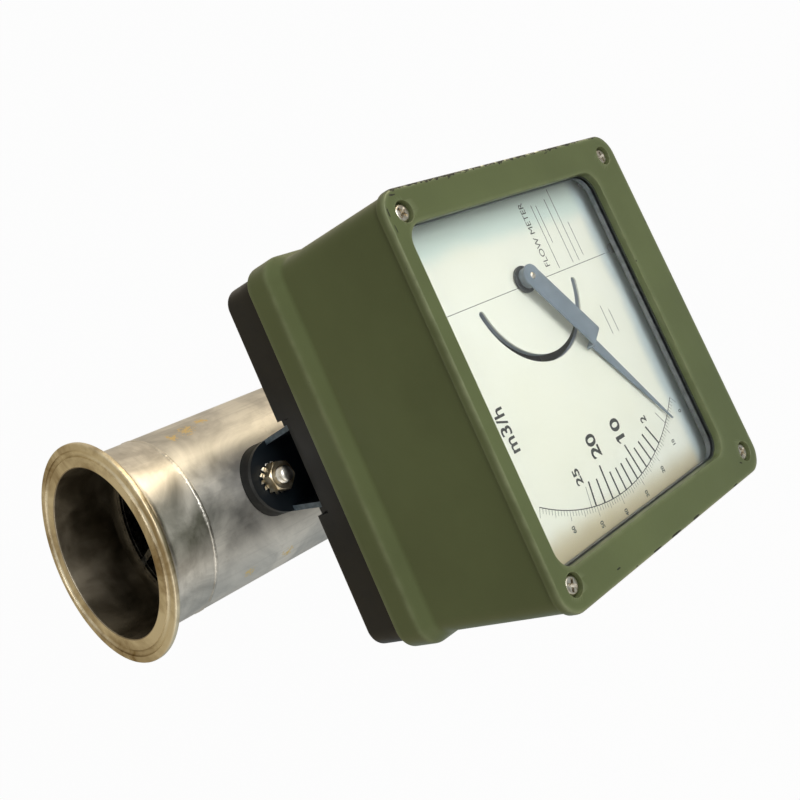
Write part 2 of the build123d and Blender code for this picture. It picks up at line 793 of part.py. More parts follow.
# Pan-head screws through the whole hood into the base, with a cross recess
screw_head_face = screw_seat - cover_screw_head_height
with BuildPart() as cover_screws:
    with BuildSketch(facing(base_front + cover_screw_bite)):
        with Locations(cover_screw_spots):
            Circle(cover_screw_radius)
    extrude(amount=base_front + cover_screw_bite - screw_seat)
    with BuildSketch(facing(screw_seat)):
        with Locations(cover_screw_spots):
            Circle(cover_screw_head_radius)
    extrude(amount=cover_screw_head_height)
    chamfer(cover_screws.faces().sort_by(Axis.Y)[:4].edges(), cover_screw_head_chamfer)
    with BuildSketch(facing(screw_head_face + cross_depth)):
        with Locations(cover_screw_spots):
            Rectangle(cross_length, cross_width)
            Rectangle(cross_width, cross_length)
    extrude(amount=cross_depth, mode=Mode.SUBTRACT)
cover_screws.part.label = "cover_screws"
export_step(cover_screws.part, "parts/cover_screws.step")


# Outline that glass and gasket share: round the screw columns and within the shell
def glass_outline():
    with BuildSketch() as outline:
        top = min(window_high + glass_overlap, inside_half_height - shell_gap)
        foot = window_low - glass_overlap
        with Locations((0, (top + foot) / 2)):
            RectangleRounded(2 * (window_half_width + glass_overlap), top - foot, 2.0)
        with Locations(cover_screw_spots):
            Circle(column_radius + shell_gap, mode=Mode.SUBTRACT)
    return outline.sketch


# Outline of the frame that clamps the glass, up to the shell on three sides
def frame_outline():
    with BuildSketch() as outline:
        top = inside_half_height - shell_gap
        with Locations((0, (top + frame_low) / 2)):
            RectangleRounded(2 * frame_half_width, top - frame_low, 4.0)
        with Locations(cover_screw_spots):
            Circle(column_radius + shell_gap, mode=Mode.SUBTRACT)
        for side in (-1, 1):
            for end in (-1, 1):
                with Locations((side * (cover_screw_x + column_radius), end * (cover_screw_height + column_radius))):
                    Rectangle(2 * column_radius, 2 * column_radius, mode=Mode.SUBTRACT)
    return outline.sketch


with BuildPart() as window_gasket:
    with BuildSketch(facing(glass_front)):
        add(glass_outline())
        with Locations((0, window_middle)):
            RectangleRounded(2 * window_half_width, window_height, window_corner, mode=Mode.SUBTRACT)
    extrude(amount=window_gasket_thickness)
window_gasket.part.label = "window_gasket"
export_step(window_gasket.part, "parts/window_gasket.step")

with BuildPart() as window_glass:
    with BuildSketch(facing(glass_back)):
        add(glass_outline())
    extrude(amount=glass_thickness)
window_glass.part.label = "window_glass"
export_step(window_glass.part, "parts/window_glass.step")

with BuildPart() as window_frame:
    with BuildSketch(facing(glass_back + frame_thickness)):
        add(frame_outline())
        with Locations((0, window_middle)):
            RectangleRounded(2 * window_half_width, window_height, window_corner, mode=Mode.SUBTRACT)
        with Locations(frame_screw_spots):
            Circle(frame_screw_radius + inner_fit, mode=Mode.SUBTRACT)
    extrude(amount=frame_thickness)
window_frame.part.label = "window_frame"
export_step(window_frame.part, "parts/window_frame.step")

with BuildPart() as frame_screws:
    with BuildSketch(facing(glass_back + frame_thickness)):
        with Locations(frame_screw_spots):
            Circle(frame_screw_radius)
    extrude(amount=frame_thickness + window_gasket_thickness + glass_thickness)
    with BuildSketch(facing(glass_back + frame_thickness + frame_screw_head_height)):
        with Locations(frame_screw_spots):
            Circle(frame_screw_head_radius)
    extrude(amount=frame_screw_head_height)
frame_screws.part.label = "frame_screws"
export_step(frame_screws.part, "parts/frame_screws.step")

# Posts that carry the dial, with a stepped foot in the base and a spigot in the carrier
with BuildPart() as dial_posts:
    with BuildSketch(facing(base_inside - post_boss_height + post_bite - 0.2)):
        with Locations(post_spots):
            Circle(post_foot_radius)
    extrude(amount=post_bite - 0.2)
    with BuildSketch(facing(base_inside - post_boss_height)):
        with Locations(post_spots):
            Circle(post_radius)
    extrude(amount=base_inside - post_boss_height - carrier_back)
    with BuildSketch(facing(carrier_back)):
        with Locations(post_spots):
            Circle(post_tip_radius)
    extrude(amount=carrier_thickness)
dial_posts.part.label = "dial_posts"
export_step(dial_posts.part, "parts/dial_posts.step")


# The whole dial's outline, with its shaft hole, screw holes and the curved slot cut out
def dial_sheet():
    with BuildSketch() as sheet:
        RectangleRounded(2 * dial_half_width, 2 * dial_half_height, dial_corner)
        with Locations((pivot_x, pivot_height)):
            Circle(shaft_hole_radius, mode=Mode.SUBTRACT)
        with Locations(dial_screw_spots):
            Circle(dial_screw_radius + inner_fit, mode=Mode.SUBTRACT)
        slot_span = slot_end_angle - slot_start_angle
        slot_arc = CenterArc((pivot_x, pivot_height), slot_radius, slot_start_angle, slot_span)
        SlotArc(slot_arc, slot_width, mode=Mode.SUBTRACT)
    return sheet.sketch


with BuildPart() as dial_carrier:
    with BuildSketch(facing(carrier_back)):
        add(dial_sheet())
        with Locations(post_spots):
            Circle(post_tip_radius + inner_fit, mode=Mode.SUBTRACT)
    extrude(amount=carrier_thickness)
dial_carrier.part.label = "dial_carrier"
export_step(dial_carrier.part, "parts/dial_carrier.step")

with BuildPart() as scale_plate:
    with BuildSketch(facing(carrier_face)):
        add(dial_sheet())
        with Locations((seam_x - seam_gap / 2, 0)):
            Rectangle(dial_half_width, 3 * dial_half_height, align=(Align.MIN, Align.CENTER), mode=Mode.SUBTRACT)
    extrude(amount=plate_thickness)
scale_plate.part.label = "scale_plate"
export_step(scale_plate.part, "parts/scale_plate.step")

with BuildPart() as name_plate:
    with BuildSketch(facing(carrier_face)):
        add(dial_sheet())
        with Locations((seam_x + seam_gap / 2, 0)):
            Rectangle(3 * dial_half_width, 3 * dial_half_height, align=(Align.MAX, Align.CENTER), mode=Mode.SUBTRACT)
    extrude(amount=plate_thickness)
name_plate.part.label = "name_plate"
export_step(name_plate.part, "parts/name_plate.step")

with BuildPart() as dial_screws:
    with BuildSketch(facing(carrier_back + 1)):
        with Locations(dial_screw_spots):
            Circle(dial_screw_radius)
    extrude(amount=carrier_thickness + plate_thickness + 1)
    with BuildSketch(facing(dial_face)):
        with Locations(dial_screw_spots):
            Circle(dial_screw_head_radius)
    extrude(amount=dial_screw_head_height)
    chamfer(dial_screws.faces().sort_by(Axis.Y)[:4].edges(), dial_screw_head_chamfer)
dial_screws.part.label = "dial_screws"
export_step(dial_screws.part, "parts/dial_screws.step")

# Movement: a bent strap with two bearing walls, on two posts from the base
with BuildPart() as movement_frame:
    with BuildSketch(Plane.YZ.offset(pivot_x - movement_width / 2)):
        with Locations(((movement_rear + movement_front) / 2, middle + pivot_height)):
            RectangleRounded(movement_depth, 2 * movement_half_height, movement_corner)
            RectangleRounded(
                movement_depth - 2 * movement_sheet,
                2 * (movement_half_height - movement_sheet),
                movement_corner - movement_sheet,
                mode=Mode.SUBTRACT,
            )
    extrude(amount=movement_width)
    with BuildSketch(facing(movement_rear)):
        with Locations((pivot_x, pivot_height)):
            Circle(bearing_radius + inner_fit)
    extrude(amount=movement_depth, mode=Mode.SUBTRACT)
    with BuildSketch(facing(movement_rear)):
        with Locations(movement_post_spots):
            Circle(post_tip_radius + inner_fit)
    extrude(amount=movement_sheet, mode=Mode.SUBTRACT)
movement_frame.part.label = "movement_frame"
export_step(movement_frame.part, "parts/movement_frame.step")

with BuildPart() as movement_posts:
    with BuildSketch(facing(base_inside)):
        with Locations(movement_post_spots):
            Circle(movement_post_radius)
    extrude(amount=base_inside - movement_rear)
    with BuildSketch(facing(movement_rear)):
        with Locations(movement_post_spots):
            Circle(post_tip_radius)
    extrude(amount=movement_sheet)
movement_posts.part.label = "movement_posts"
export_step(movement_posts.part, "parts/movement_posts.step")


# A flanged bush pressed into one wall of the movement frame
def make_bearing(wall_back, flange_towards):
    with BuildPart() as bearing:
        with BuildSketch(facing(wall_back, pivot_x, pivot_height)):
            Circle(bearing_radius)
        extrude(amount=movement_sheet)
        flange_back = wall_back + bearing_flange if flange_towards > 0 else wall_back - movement_sheet
        with BuildSketch(facing(flange_back, pivot_x, pivot_height)):
            Circle(bearing_flange_radius)
        extrude(amount=bearing_flange)
        with BuildSketch(facing(wall_back + bearing_flange, pivot_x, pivot_height)):
            Circle(shaft_radius + shaft_fit)
        extrude(amount=movement_sheet + 2 * bearing_flange, mode=Mode.SUBTRACT)
    return bearing


rear_bearing = make_bearing(movement_rear, -1)
rear_bearing.part.label = "rear_bearing"
export_step(rear_bearing.part, "parts/rear_bearing.step")

front_bearing = make_bearing(movement_front + movement_sheet, 1)
front_bearing.part.label = "front_bearing"
export_step(front_bearing.part, "parts/front_bearing.step")

# Pointer, its hub and the shaft that turns it
arm_back = dial_face - pointer_rise
arm_front = arm_back - pointer_sheet
pin_face = dial_face - pin_height
follower_back = base_inside - follower_gap - follower_magnet_thickness
shaft_rear = follower_back + follower_magnet_thickness - shaft_tail
with BuildPart() as pivot_shaft:
    with BuildSketch(facing(shaft_rear, pivot_x, pivot_height)):
        Circle(shaft_radius)
    extrude(amount=shaft_rear - pin_face)
    chamfer(pivot_shaft.faces().sort_by(Axis.Y)[0].edges(), 0.5)
pivot_shaft.part.label = "pivot_shaft"
export_step(pivot_shaft.part, "parts/pivot_shaft.step")

with BuildPart() as pointer_hub:
    with BuildSketch(facing(dial_face - dial_clearance, pivot_x, pivot_height)):
        Circle(hub_collar_radius)
    extrude(amount=hub_collar_height)
    with BuildSketch(facing(dial_face - dial_clearance - hub_collar_height, pivot_x, pivot_height)):
        Circle(hub_radius)
    extrude(amount=pointer_rise - dial_clearance - hub_collar_height)
    with BuildSketch(facing(dial_face, pivot_x, pivot_height)):
        Circle(shaft_radius + inner_fit)
    extrude(amount=pin_height, mode=Mode.SUBTRACT)
pointer_hub.part.label = "pointer_hub"
export_step(pointer_hub.part, "parts/pointer_hub.step")

# One bent sheet: a wide arm in front, a step down, and a long tapered tip close to the dial
tip_back = dial_face - pointer_drop
with BuildPart() as pointer:
    with BuildSketch(turned(arm_back, pointer_rest_angle)):
        Circle(pointer_head_radius)
        Rectangle(pointer_arm_length, pointer_arm_width, align=(Align.MIN, Align.CENTER))
        Circle(shaft_radius + inner_fit, mode=Mode.SUBTRACT)
    extrude(amount=pointer_sheet)
    with BuildSketch(turned(tip_back, pointer_rest_angle)):
        with Locations((pointer_arm_length - pointer_sheet, 0)):
            Rectangle(pointer_sheet, pointer_arm_width, align=(Align.MIN, Align.CENTER))
    extrude(amount=tip_back - arm_front)
    with BuildSketch(turned(tip_back, pointer_rest_angle)):
        with BuildLine():
            Polyline(
                (pointer_arm_length - pointer_sheet, pointer_arm_width / 2),
                (pointer_arm_length, pointer_arm_width / 2),
                (pointer_arm_length + pointer_shoulder, pointer_tip_base / 2),
                (pointer_length, pointer_tip_end / 2),
                (pointer_length, -pointer_tip_end / 2),
                (pointer_arm_length + pointer_shoulder, -pointer_tip_base / 2),
                (pointer_arm_length, -pointer_arm_width / 2),
                (pointer_arm_length - pointer_sheet, -pointer_arm_width / 2),
                close=True,
            )
        make_face()
    extrude(amount=pointer_sheet)
pointer.part.label = "pointer"
export_step(pointer.part, "parts/pointer.step")

# Follower arm behind the dial: the magnet end reaches towards the tube's axis plane
arm_rear_face = follower_back
with BuildPart() as follower_arm:
    with BuildSketch(turned(arm_rear_face, pointer_rest_angle)):
        Circle(follower_hub_radius + follower_eye_wall)
        with Locations(((follower_reach - counterweight_reach) / 2, 0)):
            Rectangle(follower_reach + counterweight_reach, follower_width)
        with Locations((follower_reach, 0)):
            Circle(follower_magnet_radius)
        with Locations((-counterweight_reach, 0)):
            Circle(follower_width / 2)
        Circle(shaft_radius + inner_fit, mode=Mode.SUBTRACT)
    extrude(amount=follower_sheet)
    with BuildSketch(turned(arm_rear_face - follower_sheet, pointer_rest_angle)):
        Circle(follower_hub_radius)
        Circle(shaft_radius + inner_fit, mode=Mode.SUBTRACT)
    extrude(amount=follower_hub_height)
follower_arm.part.label = "follower_arm"
export_step(follower_arm.part, "parts/follower_arm.step")

with BuildPart() as follower_magnet:
    with BuildSketch(turned(arm_rear_face + follower_magnet_thickness, pointer_rest_angle)):
        with Locations((follower_reach, 0)):
            Circle(follower_magnet_radius)
    extrude(amount=follower_magnet_thickness)
follower_magnet.part.label = "follower_magnet"
export_step(follower_magnet.part, "parts/follower_magnet.step")

with BuildPart() as counterweight:
    with BuildSketch(turned(arm_rear_face + counterweight_thickness, pointer_rest_angle)):
        with Locations((-counterweight_reach, 0)):
            Circle(counterweight_radius)
    extrude(amount=counterweight_thickness)
counterweight.part.label = "counterweight"
export_step(counterweight.part, "parts/counterweight.step")
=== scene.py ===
# Flow meter with clamp ferrules and a square dial housing: its looks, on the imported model.
# Lengths are millimetres until a mesh is made. x is the reader's right, y points away from the reader and z goes up.
import math

import bmesh
import bpy
import numpy as np
from mathutils import Matrix


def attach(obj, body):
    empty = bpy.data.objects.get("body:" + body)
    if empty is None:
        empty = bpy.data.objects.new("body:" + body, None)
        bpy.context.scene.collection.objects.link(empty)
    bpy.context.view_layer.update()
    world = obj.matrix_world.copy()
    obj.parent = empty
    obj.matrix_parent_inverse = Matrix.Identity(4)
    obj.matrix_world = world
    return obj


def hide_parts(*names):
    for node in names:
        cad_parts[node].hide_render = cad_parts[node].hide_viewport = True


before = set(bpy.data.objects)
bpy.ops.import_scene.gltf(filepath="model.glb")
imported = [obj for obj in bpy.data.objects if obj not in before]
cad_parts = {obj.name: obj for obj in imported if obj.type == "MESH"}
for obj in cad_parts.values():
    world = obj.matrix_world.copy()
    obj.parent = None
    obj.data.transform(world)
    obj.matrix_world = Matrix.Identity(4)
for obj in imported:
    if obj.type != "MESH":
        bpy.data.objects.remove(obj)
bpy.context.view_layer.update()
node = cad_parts
mm = 0.001
housingMiddle = 150.0  # height of the housing's middle above the inlet face
creaseAngle = 34  # degrees; edges that turn more stay sharp
print("frame loaded:", len(node), "nodes")


# quads of a grid: cell (i, j) joins points i and i+1, j and j+1, and a closed side joins its last row to its first
def gridFaces(rows, cols, closeRows, closeCols):
    index = np.arange(rows * cols).reshape(rows, cols)
    i = np.arange(rows if closeRows else rows - 1)
    j = np.arange(cols if closeCols else cols - 1)
    a = index[np.ix_(i, j)]
    b = index[np.ix_(i, (j + 1) % cols)]
    c = index[np.ix_((i + 1) % rows, (j + 1) % cols)]
    d = index[np.ix_((i + 1) % rows, j)]
    return np.stack([a, b, c, d], -1).reshape(-1, 4)


# a piece from grids of points (points, closeRows, closeCols); values holds one number a point, kept as an attribute
def gridPiece(name, parts, material, body="meter", sharp=creaseAngle, values=None, merge=0.002):
    points, faces, start = [], [], 0
    for grid, closeRows, closeCols in parts:
        rows, cols = grid.shape[:2]
        faces.append(gridFaces(rows, cols, closeRows, closeCols) + start)
        points.append(grid.reshape(-1, 3))
        start += rows * cols
    mesh = bpy.data.meshes.new(name)
    mesh.from_pydata(np.concatenate(points) * mm, [], np.concatenate(faces).tolist())
    if values is not None:
        layer = mesh.attributes.new("edge", "FLOAT", "POINT")
        layer.data.foreach_set("value", np.concatenate([v.reshape(-1) for v in values]).astype(np.float32))
    work = bmesh.new()
    work.from_mesh(mesh)
    bmesh.ops.remove_doubles(work, verts=work.verts, dist=merge * mm)
    bmesh.ops.dissolve_degenerate(work, edges=work.edges, dist=0.0005 * mm)
    bmesh.ops.recalc_face_normals(work, faces=work.faces)
    work.to_mesh(mesh)
    work.free()
    return newPiece(name, mesh, material, body, sharp)


# smooth shading but for creases above the sharp angle
def shade(mesh, sharp):
    mesh.polygons.foreach_set("use_smooth", np.ones(len(mesh.polygons), bool))
    mesh.set_sharp_from_angle(angle=math.radians(sharp))


# puts a mesh in the scene with one material, riding on a body
def newPiece(name, mesh, material, body="meter", sharp=creaseAngle):
    shade(mesh, sharp)
    mesh.materials.clear()
    mesh.materials.append(material)
    piece = bpy.data.objects.new(name, mesh)
    bpy.context.scene.collection.objects.link(piece)
    if body:
        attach(piece, body)
    return piece


# the modifiers' result becomes the piece's own mesh
def settle(piece):
    bpy.context.view_layer.update()
    done = bpy.data.meshes.new_from_object(piece.evaluated_get(bpy.context.evaluated_depsgraph_get()))
    piece.modifiers.clear()
    old = piece.data
    piece.data = done
    bpy.data.meshes.remove(old)
    shade(done, creaseAngle)


# adds or cuts tool shapes with exact Booleans, then drops the tools
def carve(piece, steps):
    for operation, tool in steps:
        change = piece.modifiers.new(operation.lower(), "BOOLEAN")
        change.operation, change.solver, change.object = operation, "EXACT", tool
    settle(piece)
    for operation, tool in steps:
        bpy.data.objects.remove(tool)


# a profile of (r, z) rows turned about the tube's axis: x = r cos a, y = r sin a
def turnedGrid(profile, columns=256):
    a = np.linspace(0, 2 * np.pi, columns, endpoint=False)
    grid = np.empty((len(profile), columns, 3))
    grid[..., 0] = profile[:, 0, None] * np.cos(a)
    grid[..., 1] = profile[:, 0, None] * np.sin(a)
    grid[..., 2] = profile[:, 1, None]
    return grid


# a profile of (r, y) rows turned about a line through (x, z) that points at the reader
def facingGrid(profile, x, z, columns=64):
    a = np.linspace(0, 2 * np.pi, columns, endpoint=False)
    grid = np.empty((len(profile), columns, 3))
    grid[..., 0] = x + profile[:, 0, None] * np.cos(a)
    grid[..., 1] = profile[:, 1, None]
    grid[..., 2] = z + profile[:, 0, None] * np.sin(a)
    return grid


# a profile turned like that at each of several spots, as the parts of one piece
def facingParts(profile, spots, columns):
    return [(facingGrid(profile, x, z, columns), False, True) for x, z in spots]


# rounds an outline's corners: from A, a cut before corner C, to B, a cut after it: (1-t)^2 A + 2t(1-t) C + t^2 B.
# Long sides are divided, and the second result says how near each point lies to a corner that wears, which the hood
# also uses for a painted edge highlight
def roundedRows(corners, cuts, weights=None, closed=False, steps=5, spacing=7.0, reach=1.6):
    corners = np.asarray(corners, float)
    count = len(corners)
    weights = np.zeros(count) if weights is None else np.asarray(weights, float)
    rows, marks = [], []
    for k in range(count):
        before, here, after = corners[k - 1], corners[k], corners[(k + 1) % count]
        if not closed and k in (0, count - 1):
            rows.append(here[None])
            marks.append((sum(len(r) for r in rows) - 1, weights[k]))
            continue
        backLength = np.linalg.norm(before - here)
        onLength = np.linalg.norm(after - here)
        cut = min(cuts[k], 0.48 * backLength, 0.48 * onLength)
        a = here + (before - here) * cut / backLength
        b = here + (after - here) * cut / onLength
        t = np.linspace(0, 1, steps if cut > 0 else 1)[:, None]
        rows.append((1 - t) ** 2 * a + 2 * t * (1 - t) * here + t ** 2 * b if cut > 0 else here[None])
        marks.append((sum(len(r) for r in rows) - 1 - len(rows[-1]) // 2, weights[k]))
    line = np.concatenate(rows)
    ends = np.concatenate([line, line[:1]]) if closed else line
    dense, place = [ends[:1]], [0]
    for a, b in zip(ends[:-1], ends[1:]):
        length = np.linalg.norm(b - a)
        inner = [s for s in (0.5 * reach, 1.5 * reach) if s < length / 2]
        even = np.arange(spacing, length - 1.5 * reach, spacing)
        stops = sorted({*inner, *(length - s for s in inner), *even, length})
        dense.append(a + (b - a) * (np.array(stops) / max(length, 1e-9))[:, None])
        place.append(place[-1] + len(stops))
    dense = np.concatenate(dense)
    along = np.concatenate([[0], np.cumsum(np.linalg.norm(np.diff(dense, axis=0), axis=1))])
    near = np.zeros(len(dense))
    for where, weight in marks:
        gap = np.abs(along - along[place[where]])
        gap = np.minimum(gap, along[-1] - gap) if closed else gap
        near = np.maximum(near, weight * np.exp(-(gap / reach) ** 2))
    return (dense[:-1], near[:-1]) if closed else (dense, near)


# a rounded rectangle carried through rows of (halfWidth, halfHeight, cornerRadius, middleZ, y): every point is a
# corner circle's centre plus the radius times (cos a, sin a), and the straight sides slide that centre along
def boxGrid(rows, cornerSteps=14, sideSteps=26):
    a, cx, cz = [], [], []
    corners = [(1, 1), (-1, 1), (-1, -1), (1, -1)]
    for k, (sx, sz) in enumerate(corners):
        nx, nz = corners[(k + 1) % 4]
        turn = np.linspace(k * 90, k * 90 + 90, cornerSteps + 1)
        slide = np.linspace(0, 1, sideSteps + 1)[1:-1]
        a += [turn, np.full(len(slide), k * 90 + 90.0)]
        cx += [np.full(len(turn), sx), sx + (nx - sx) * slide]
        cz += [np.full(len(turn), sz), sz + (nz - sz) * slide]
    a, cx, cz = np.radians(np.concatenate(a)), np.concatenate(cx), np.concatenate(cz)
    w, h, r, mid, y = (rows[:, k, None] for k in range(5))
    grid = np.empty((len(rows), len(a), 3))
    grid[..., 0] = cx * (w - r) + r * np.cos(a)
    grid[..., 1] = y
    grid[..., 2] = housingMiddle + mid + cz * (h - r) + r * np.sin(a)
    return grid


# an sRGB hex colour as linear values: v / 12.92 near black, else ((v + 0.055) / 1.055) to the power 2.4
def hexColour(text):
    v = np.array([int(text[i:i + 2], 16) for i in (1, 3, 5)]) / 255
    return (*np.where(v <= 0.04045, v / 12.92, ((v + 0.055) / 1.055) ** 2.4).tolist(), 1.0)


# adds a node with its settings, values and links, and hands back the output asked for. A socket is named, or i and
# its number; stops fill a colour ramp with hex colours or plain numbers
def addNode(tree, kind, out=0, settings=None, stops=None, **inputs):
    made = tree.nodes.new("ShaderNode" + kind)
    for key, value in (settings or {}).items():
        setattr(made, key, value)
    for k, (at, colour) in enumerate(stops or []):
        stop = made.color_ramp.elements[k] if k < 2 else made.color_ramp.elements.new(at)
        stop.position = at
        stop.color = hexColour(colour) if isinstance(colour, str) else (colour, colour, colour, 1)
    for key, value in inputs.items():
        numbered = key[0] == "i" and key[1:].isdigit()
        socket = made.inputs[int(key[1:]) if numbered else key.replace("_", " ")]
        if isinstance(value, bpy.types.NodeSocket):
            tree.links.new(value, socket)
        else:
            socket.default_value = value
    return made.outputs[out] if out is not None else made


# a material, its tree, its shader and its Object coordinates; what is the same all over sits on the shader's sockets
def newMaterial(name, **sockets):
    made = bpy.data.materials.new(name)
    made.use_nodes = True
    tree = made.node_tree
    shader = next(n for n in tree.nodes if n.type == "BSDF_PRINCIPLED")
    for key, value in sockets.items():
        shader.inputs[key.replace("_", " ")].default_value = value
    return made, tree, shader, addNode(tree, "TexCoord", out="Object")


# links nodes' outputs to a shader's sockets
def feed(shader, **sockets):
    for key, value in sockets.items():
        shader.id_data.links.new(value, shader.inputs[key.replace("_", " ")])


multiply, add, subtract, scaled, largest, absolute, within, above, below = ({"operation": o} for o in (
    "MULTIPLY", "ADD", "SUBTRACT", "MULTIPLY_ADD", "MAXIMUM", "ABSOLUTE", "COMPARE", "GREATER_THAN", "LESS_THAN"))
blend = {"data_type": "RGBA"}
noiseSpan = {"i1": 0.3, "i2": 0.7}  # a noise's values lie mostly between these

hoodFinish = {
    "paint": "#69744a", "deep": "#5f6942", "rubbedAndHighlit": "#9aa17c", "primer": "#33342a",
    "cloudWidth": 55.0, "rubWidth": 9.0, "chipWidth": 4.0, "speckWidth": 1.8, "patchWidth": 24.0, "peelWidth": 1.3,
    "frontFrom": -181.6, "wornFrom": 83.6, "wornTo": 86.4, "wornMost": 0.36, "chipLevel": 0.79,
    # gouges on the front: middle x and z, length, width, turn in degrees
    "gouges": [(77.5, 232.1, 5.5, 0.8, 4), (70.5, 231.8, 4.5, 0.6, -3), (83.9, 226.0, 0.9, 4.0, 3),
               (-79.5, 84.0, 1.0, 3.0, 30), (-82.0, 196.0, 0.7, 3.4, 2), (40.0, 68.4, 3.0, 0.5, 2),
               (12.0, 67.9, 1.6, 0.5, 0), (84.6, 120.0, 0.6, 2.6, 0), (-85.9, 152.0, 1.5, 11.0, 0),
               (-86.0, 168.0, 1.2, 7.0, 2), (-85.8, 134.0, 1.2, 6.0, -2), (-85.9, 96.0, 1.0, 5.0, 0)],
}


# wet-sprayed olive enamel on a casting: a soft orange peel, paler along worn rounded edges, partly from wear and partly
# a painted highlight, chipped to dark primer along the front's right edge, with a few gouges on the front
def sprayedEnamel():
    s = hoodFinish
    made, tree, shader, place = newMaterial("sprayedOliveEnamel", IOR=1.5, Specular_IOR_Level=0.34)
    cloud = addNode(tree, "TexNoise", Vector=place, Scale=1000 / s["cloudWidth"], Detail=4.0)
    colour = addNode(tree, "ValToRGB", stops=[(0.3, s["deep"]), (0.7, s["paint"])], Fac=cloud)
    edge = addNode(tree, "Attribute", out="Fac", settings={"attribute_name": "edge"})
    # paler near the worn corners: worn paint, and a painted highlight along the rounded edges
    patchy = addNode(tree, "TexNoise", Vector=place, Scale=1000 / s["rubWidth"], Detail=5.0)
    rubAndHighlight = addNode(tree, "ValToRGB", stops=[(0.35, 0.3), (0.7, 0.8)], Fac=patchy)
    rubAndHighlight = addNode(tree, "Math", settings=multiply, i0=edge, i1=rubAndHighlight)
    colour = addNode(tree, "Mix", out=2, settings=blend, i0=rubAndHighlight, i6=colour, i7=hexColour(s["rubbedAndHighlit"]))
    # primer along the right edge: a ramp across the edge plus a noise, cut off at a level
    axes = addNode(tree, "SeparateXYZ", out=None, Vector=place)
    rough = addNode(tree, "TexNoise", Vector=place, Scale=1000 / s["chipWidth"], Detail=7.0, Roughness=0.72)
    worn = addNode(tree, "MapRange", i0=axes.outputs["X"], i1=s["wornFrom"] * mm, i2=s["wornTo"] * mm, i3=0.0,
                   i4=s["wornMost"])
    worn = addNode(tree, "Math", settings=add, i0=worn, i1=rough)
    worn = addNode(tree, "Math", settings=above, i0=worn, i1=s["chipLevel"])
    front = addNode(tree, "Math", settings=below, i0=axes.outputs["Y"], i1=s["frontFrom"] * mm)
    chips = addNode(tree, "Math", settings=multiply, i0=worn, i1=front)
    # small chips on every worn edge: specks inside a patch
    speck = addNode(tree, "TexNoise", Vector=place, Scale=1000 / s["speckWidth"], Detail=6.0, Roughness=0.7)
    patch = addNode(tree, "TexNoise", Vector=place, Scale=1000 / s["patchWidth"], Detail=3.0)
    speck = addNode(tree, "Math", settings=above, i0=speck, i1=0.63)
    for mask, level in ((patch, 0.55), (edge, 0.45)):
        mask = addNode(tree, "Math", settings=above, i0=mask, i1=level)
        speck = addNode(tree, "Math", settings=multiply, i0=speck, i1=mask)
    chips = addNode(tree, "Math", settings=largest, i0=chips, i1=speck)
    # each gouge is an ellipse in the front plane, its rim broken by the same noise
    flat = addNode(tree, "CombineXYZ", X=axes.outputs["X"], Y=0.0, Z=axes.outputs["Z"])
    for x, z, length, width, turn in s["gouges"]:
        spot = addNode(tree, "Mapping", settings={"vector_type": "TEXTURE"}, Vector=flat, Location=(x * mm, 0, z * mm),
                       Rotation=(0, math.radians(turn), 0), Scale=(length / 2 * mm, 1, width / 2 * mm))
        far = addNode(tree, "VectorMath", out="Value", settings={"operation": "LENGTH"}, i0=spot)
        ragged = addNode(tree, "Math", settings=scaled, i0=rough, i1=2.2, i2=far)
        mark = addNode(tree, "Math", settings=below, i0=ragged, i1=1.9)
        mark = addNode(tree, "Math", settings=multiply, i0=mark, i1=front)
        chips = addNode(tree, "Math", settings=largest, i0=chips, i1=mark)
    colour = addNode(tree, "Mix", out=2, settings=blend, i0=chips, i6=colour, i7=hexColour(s["primer"]))
    gloss = addNode(tree, "MapRange", i0=patchy, **noiseSpan, i3=0.33, i4=0.45)
    gloss = addNode(tree, "Math", settings=scaled, i0=chips, i1=0.4, i2=gloss)
    peel = addNode(tree, "TexNoise", Vector=place, Scale=1000 / s["peelWidth"], Detail=2.0)
    peel = addNode(tree, "Math", settings=scaled, i0=chips, i1=-5.0, i2=peel)
    feed(shader, Base_Color=colour, Roughness=gloss, Normal=addNode(tree, "Bump", Height=peel, Distance=0.03 * mm))
    return made


# the bracket's sawn ends: how far from the housing's middle, and from the middle plane, each with its reach
sawnEnds = {"away": 79.0, "awayReach": 0.12, "side": 17.6, "sideReach": 2.4}


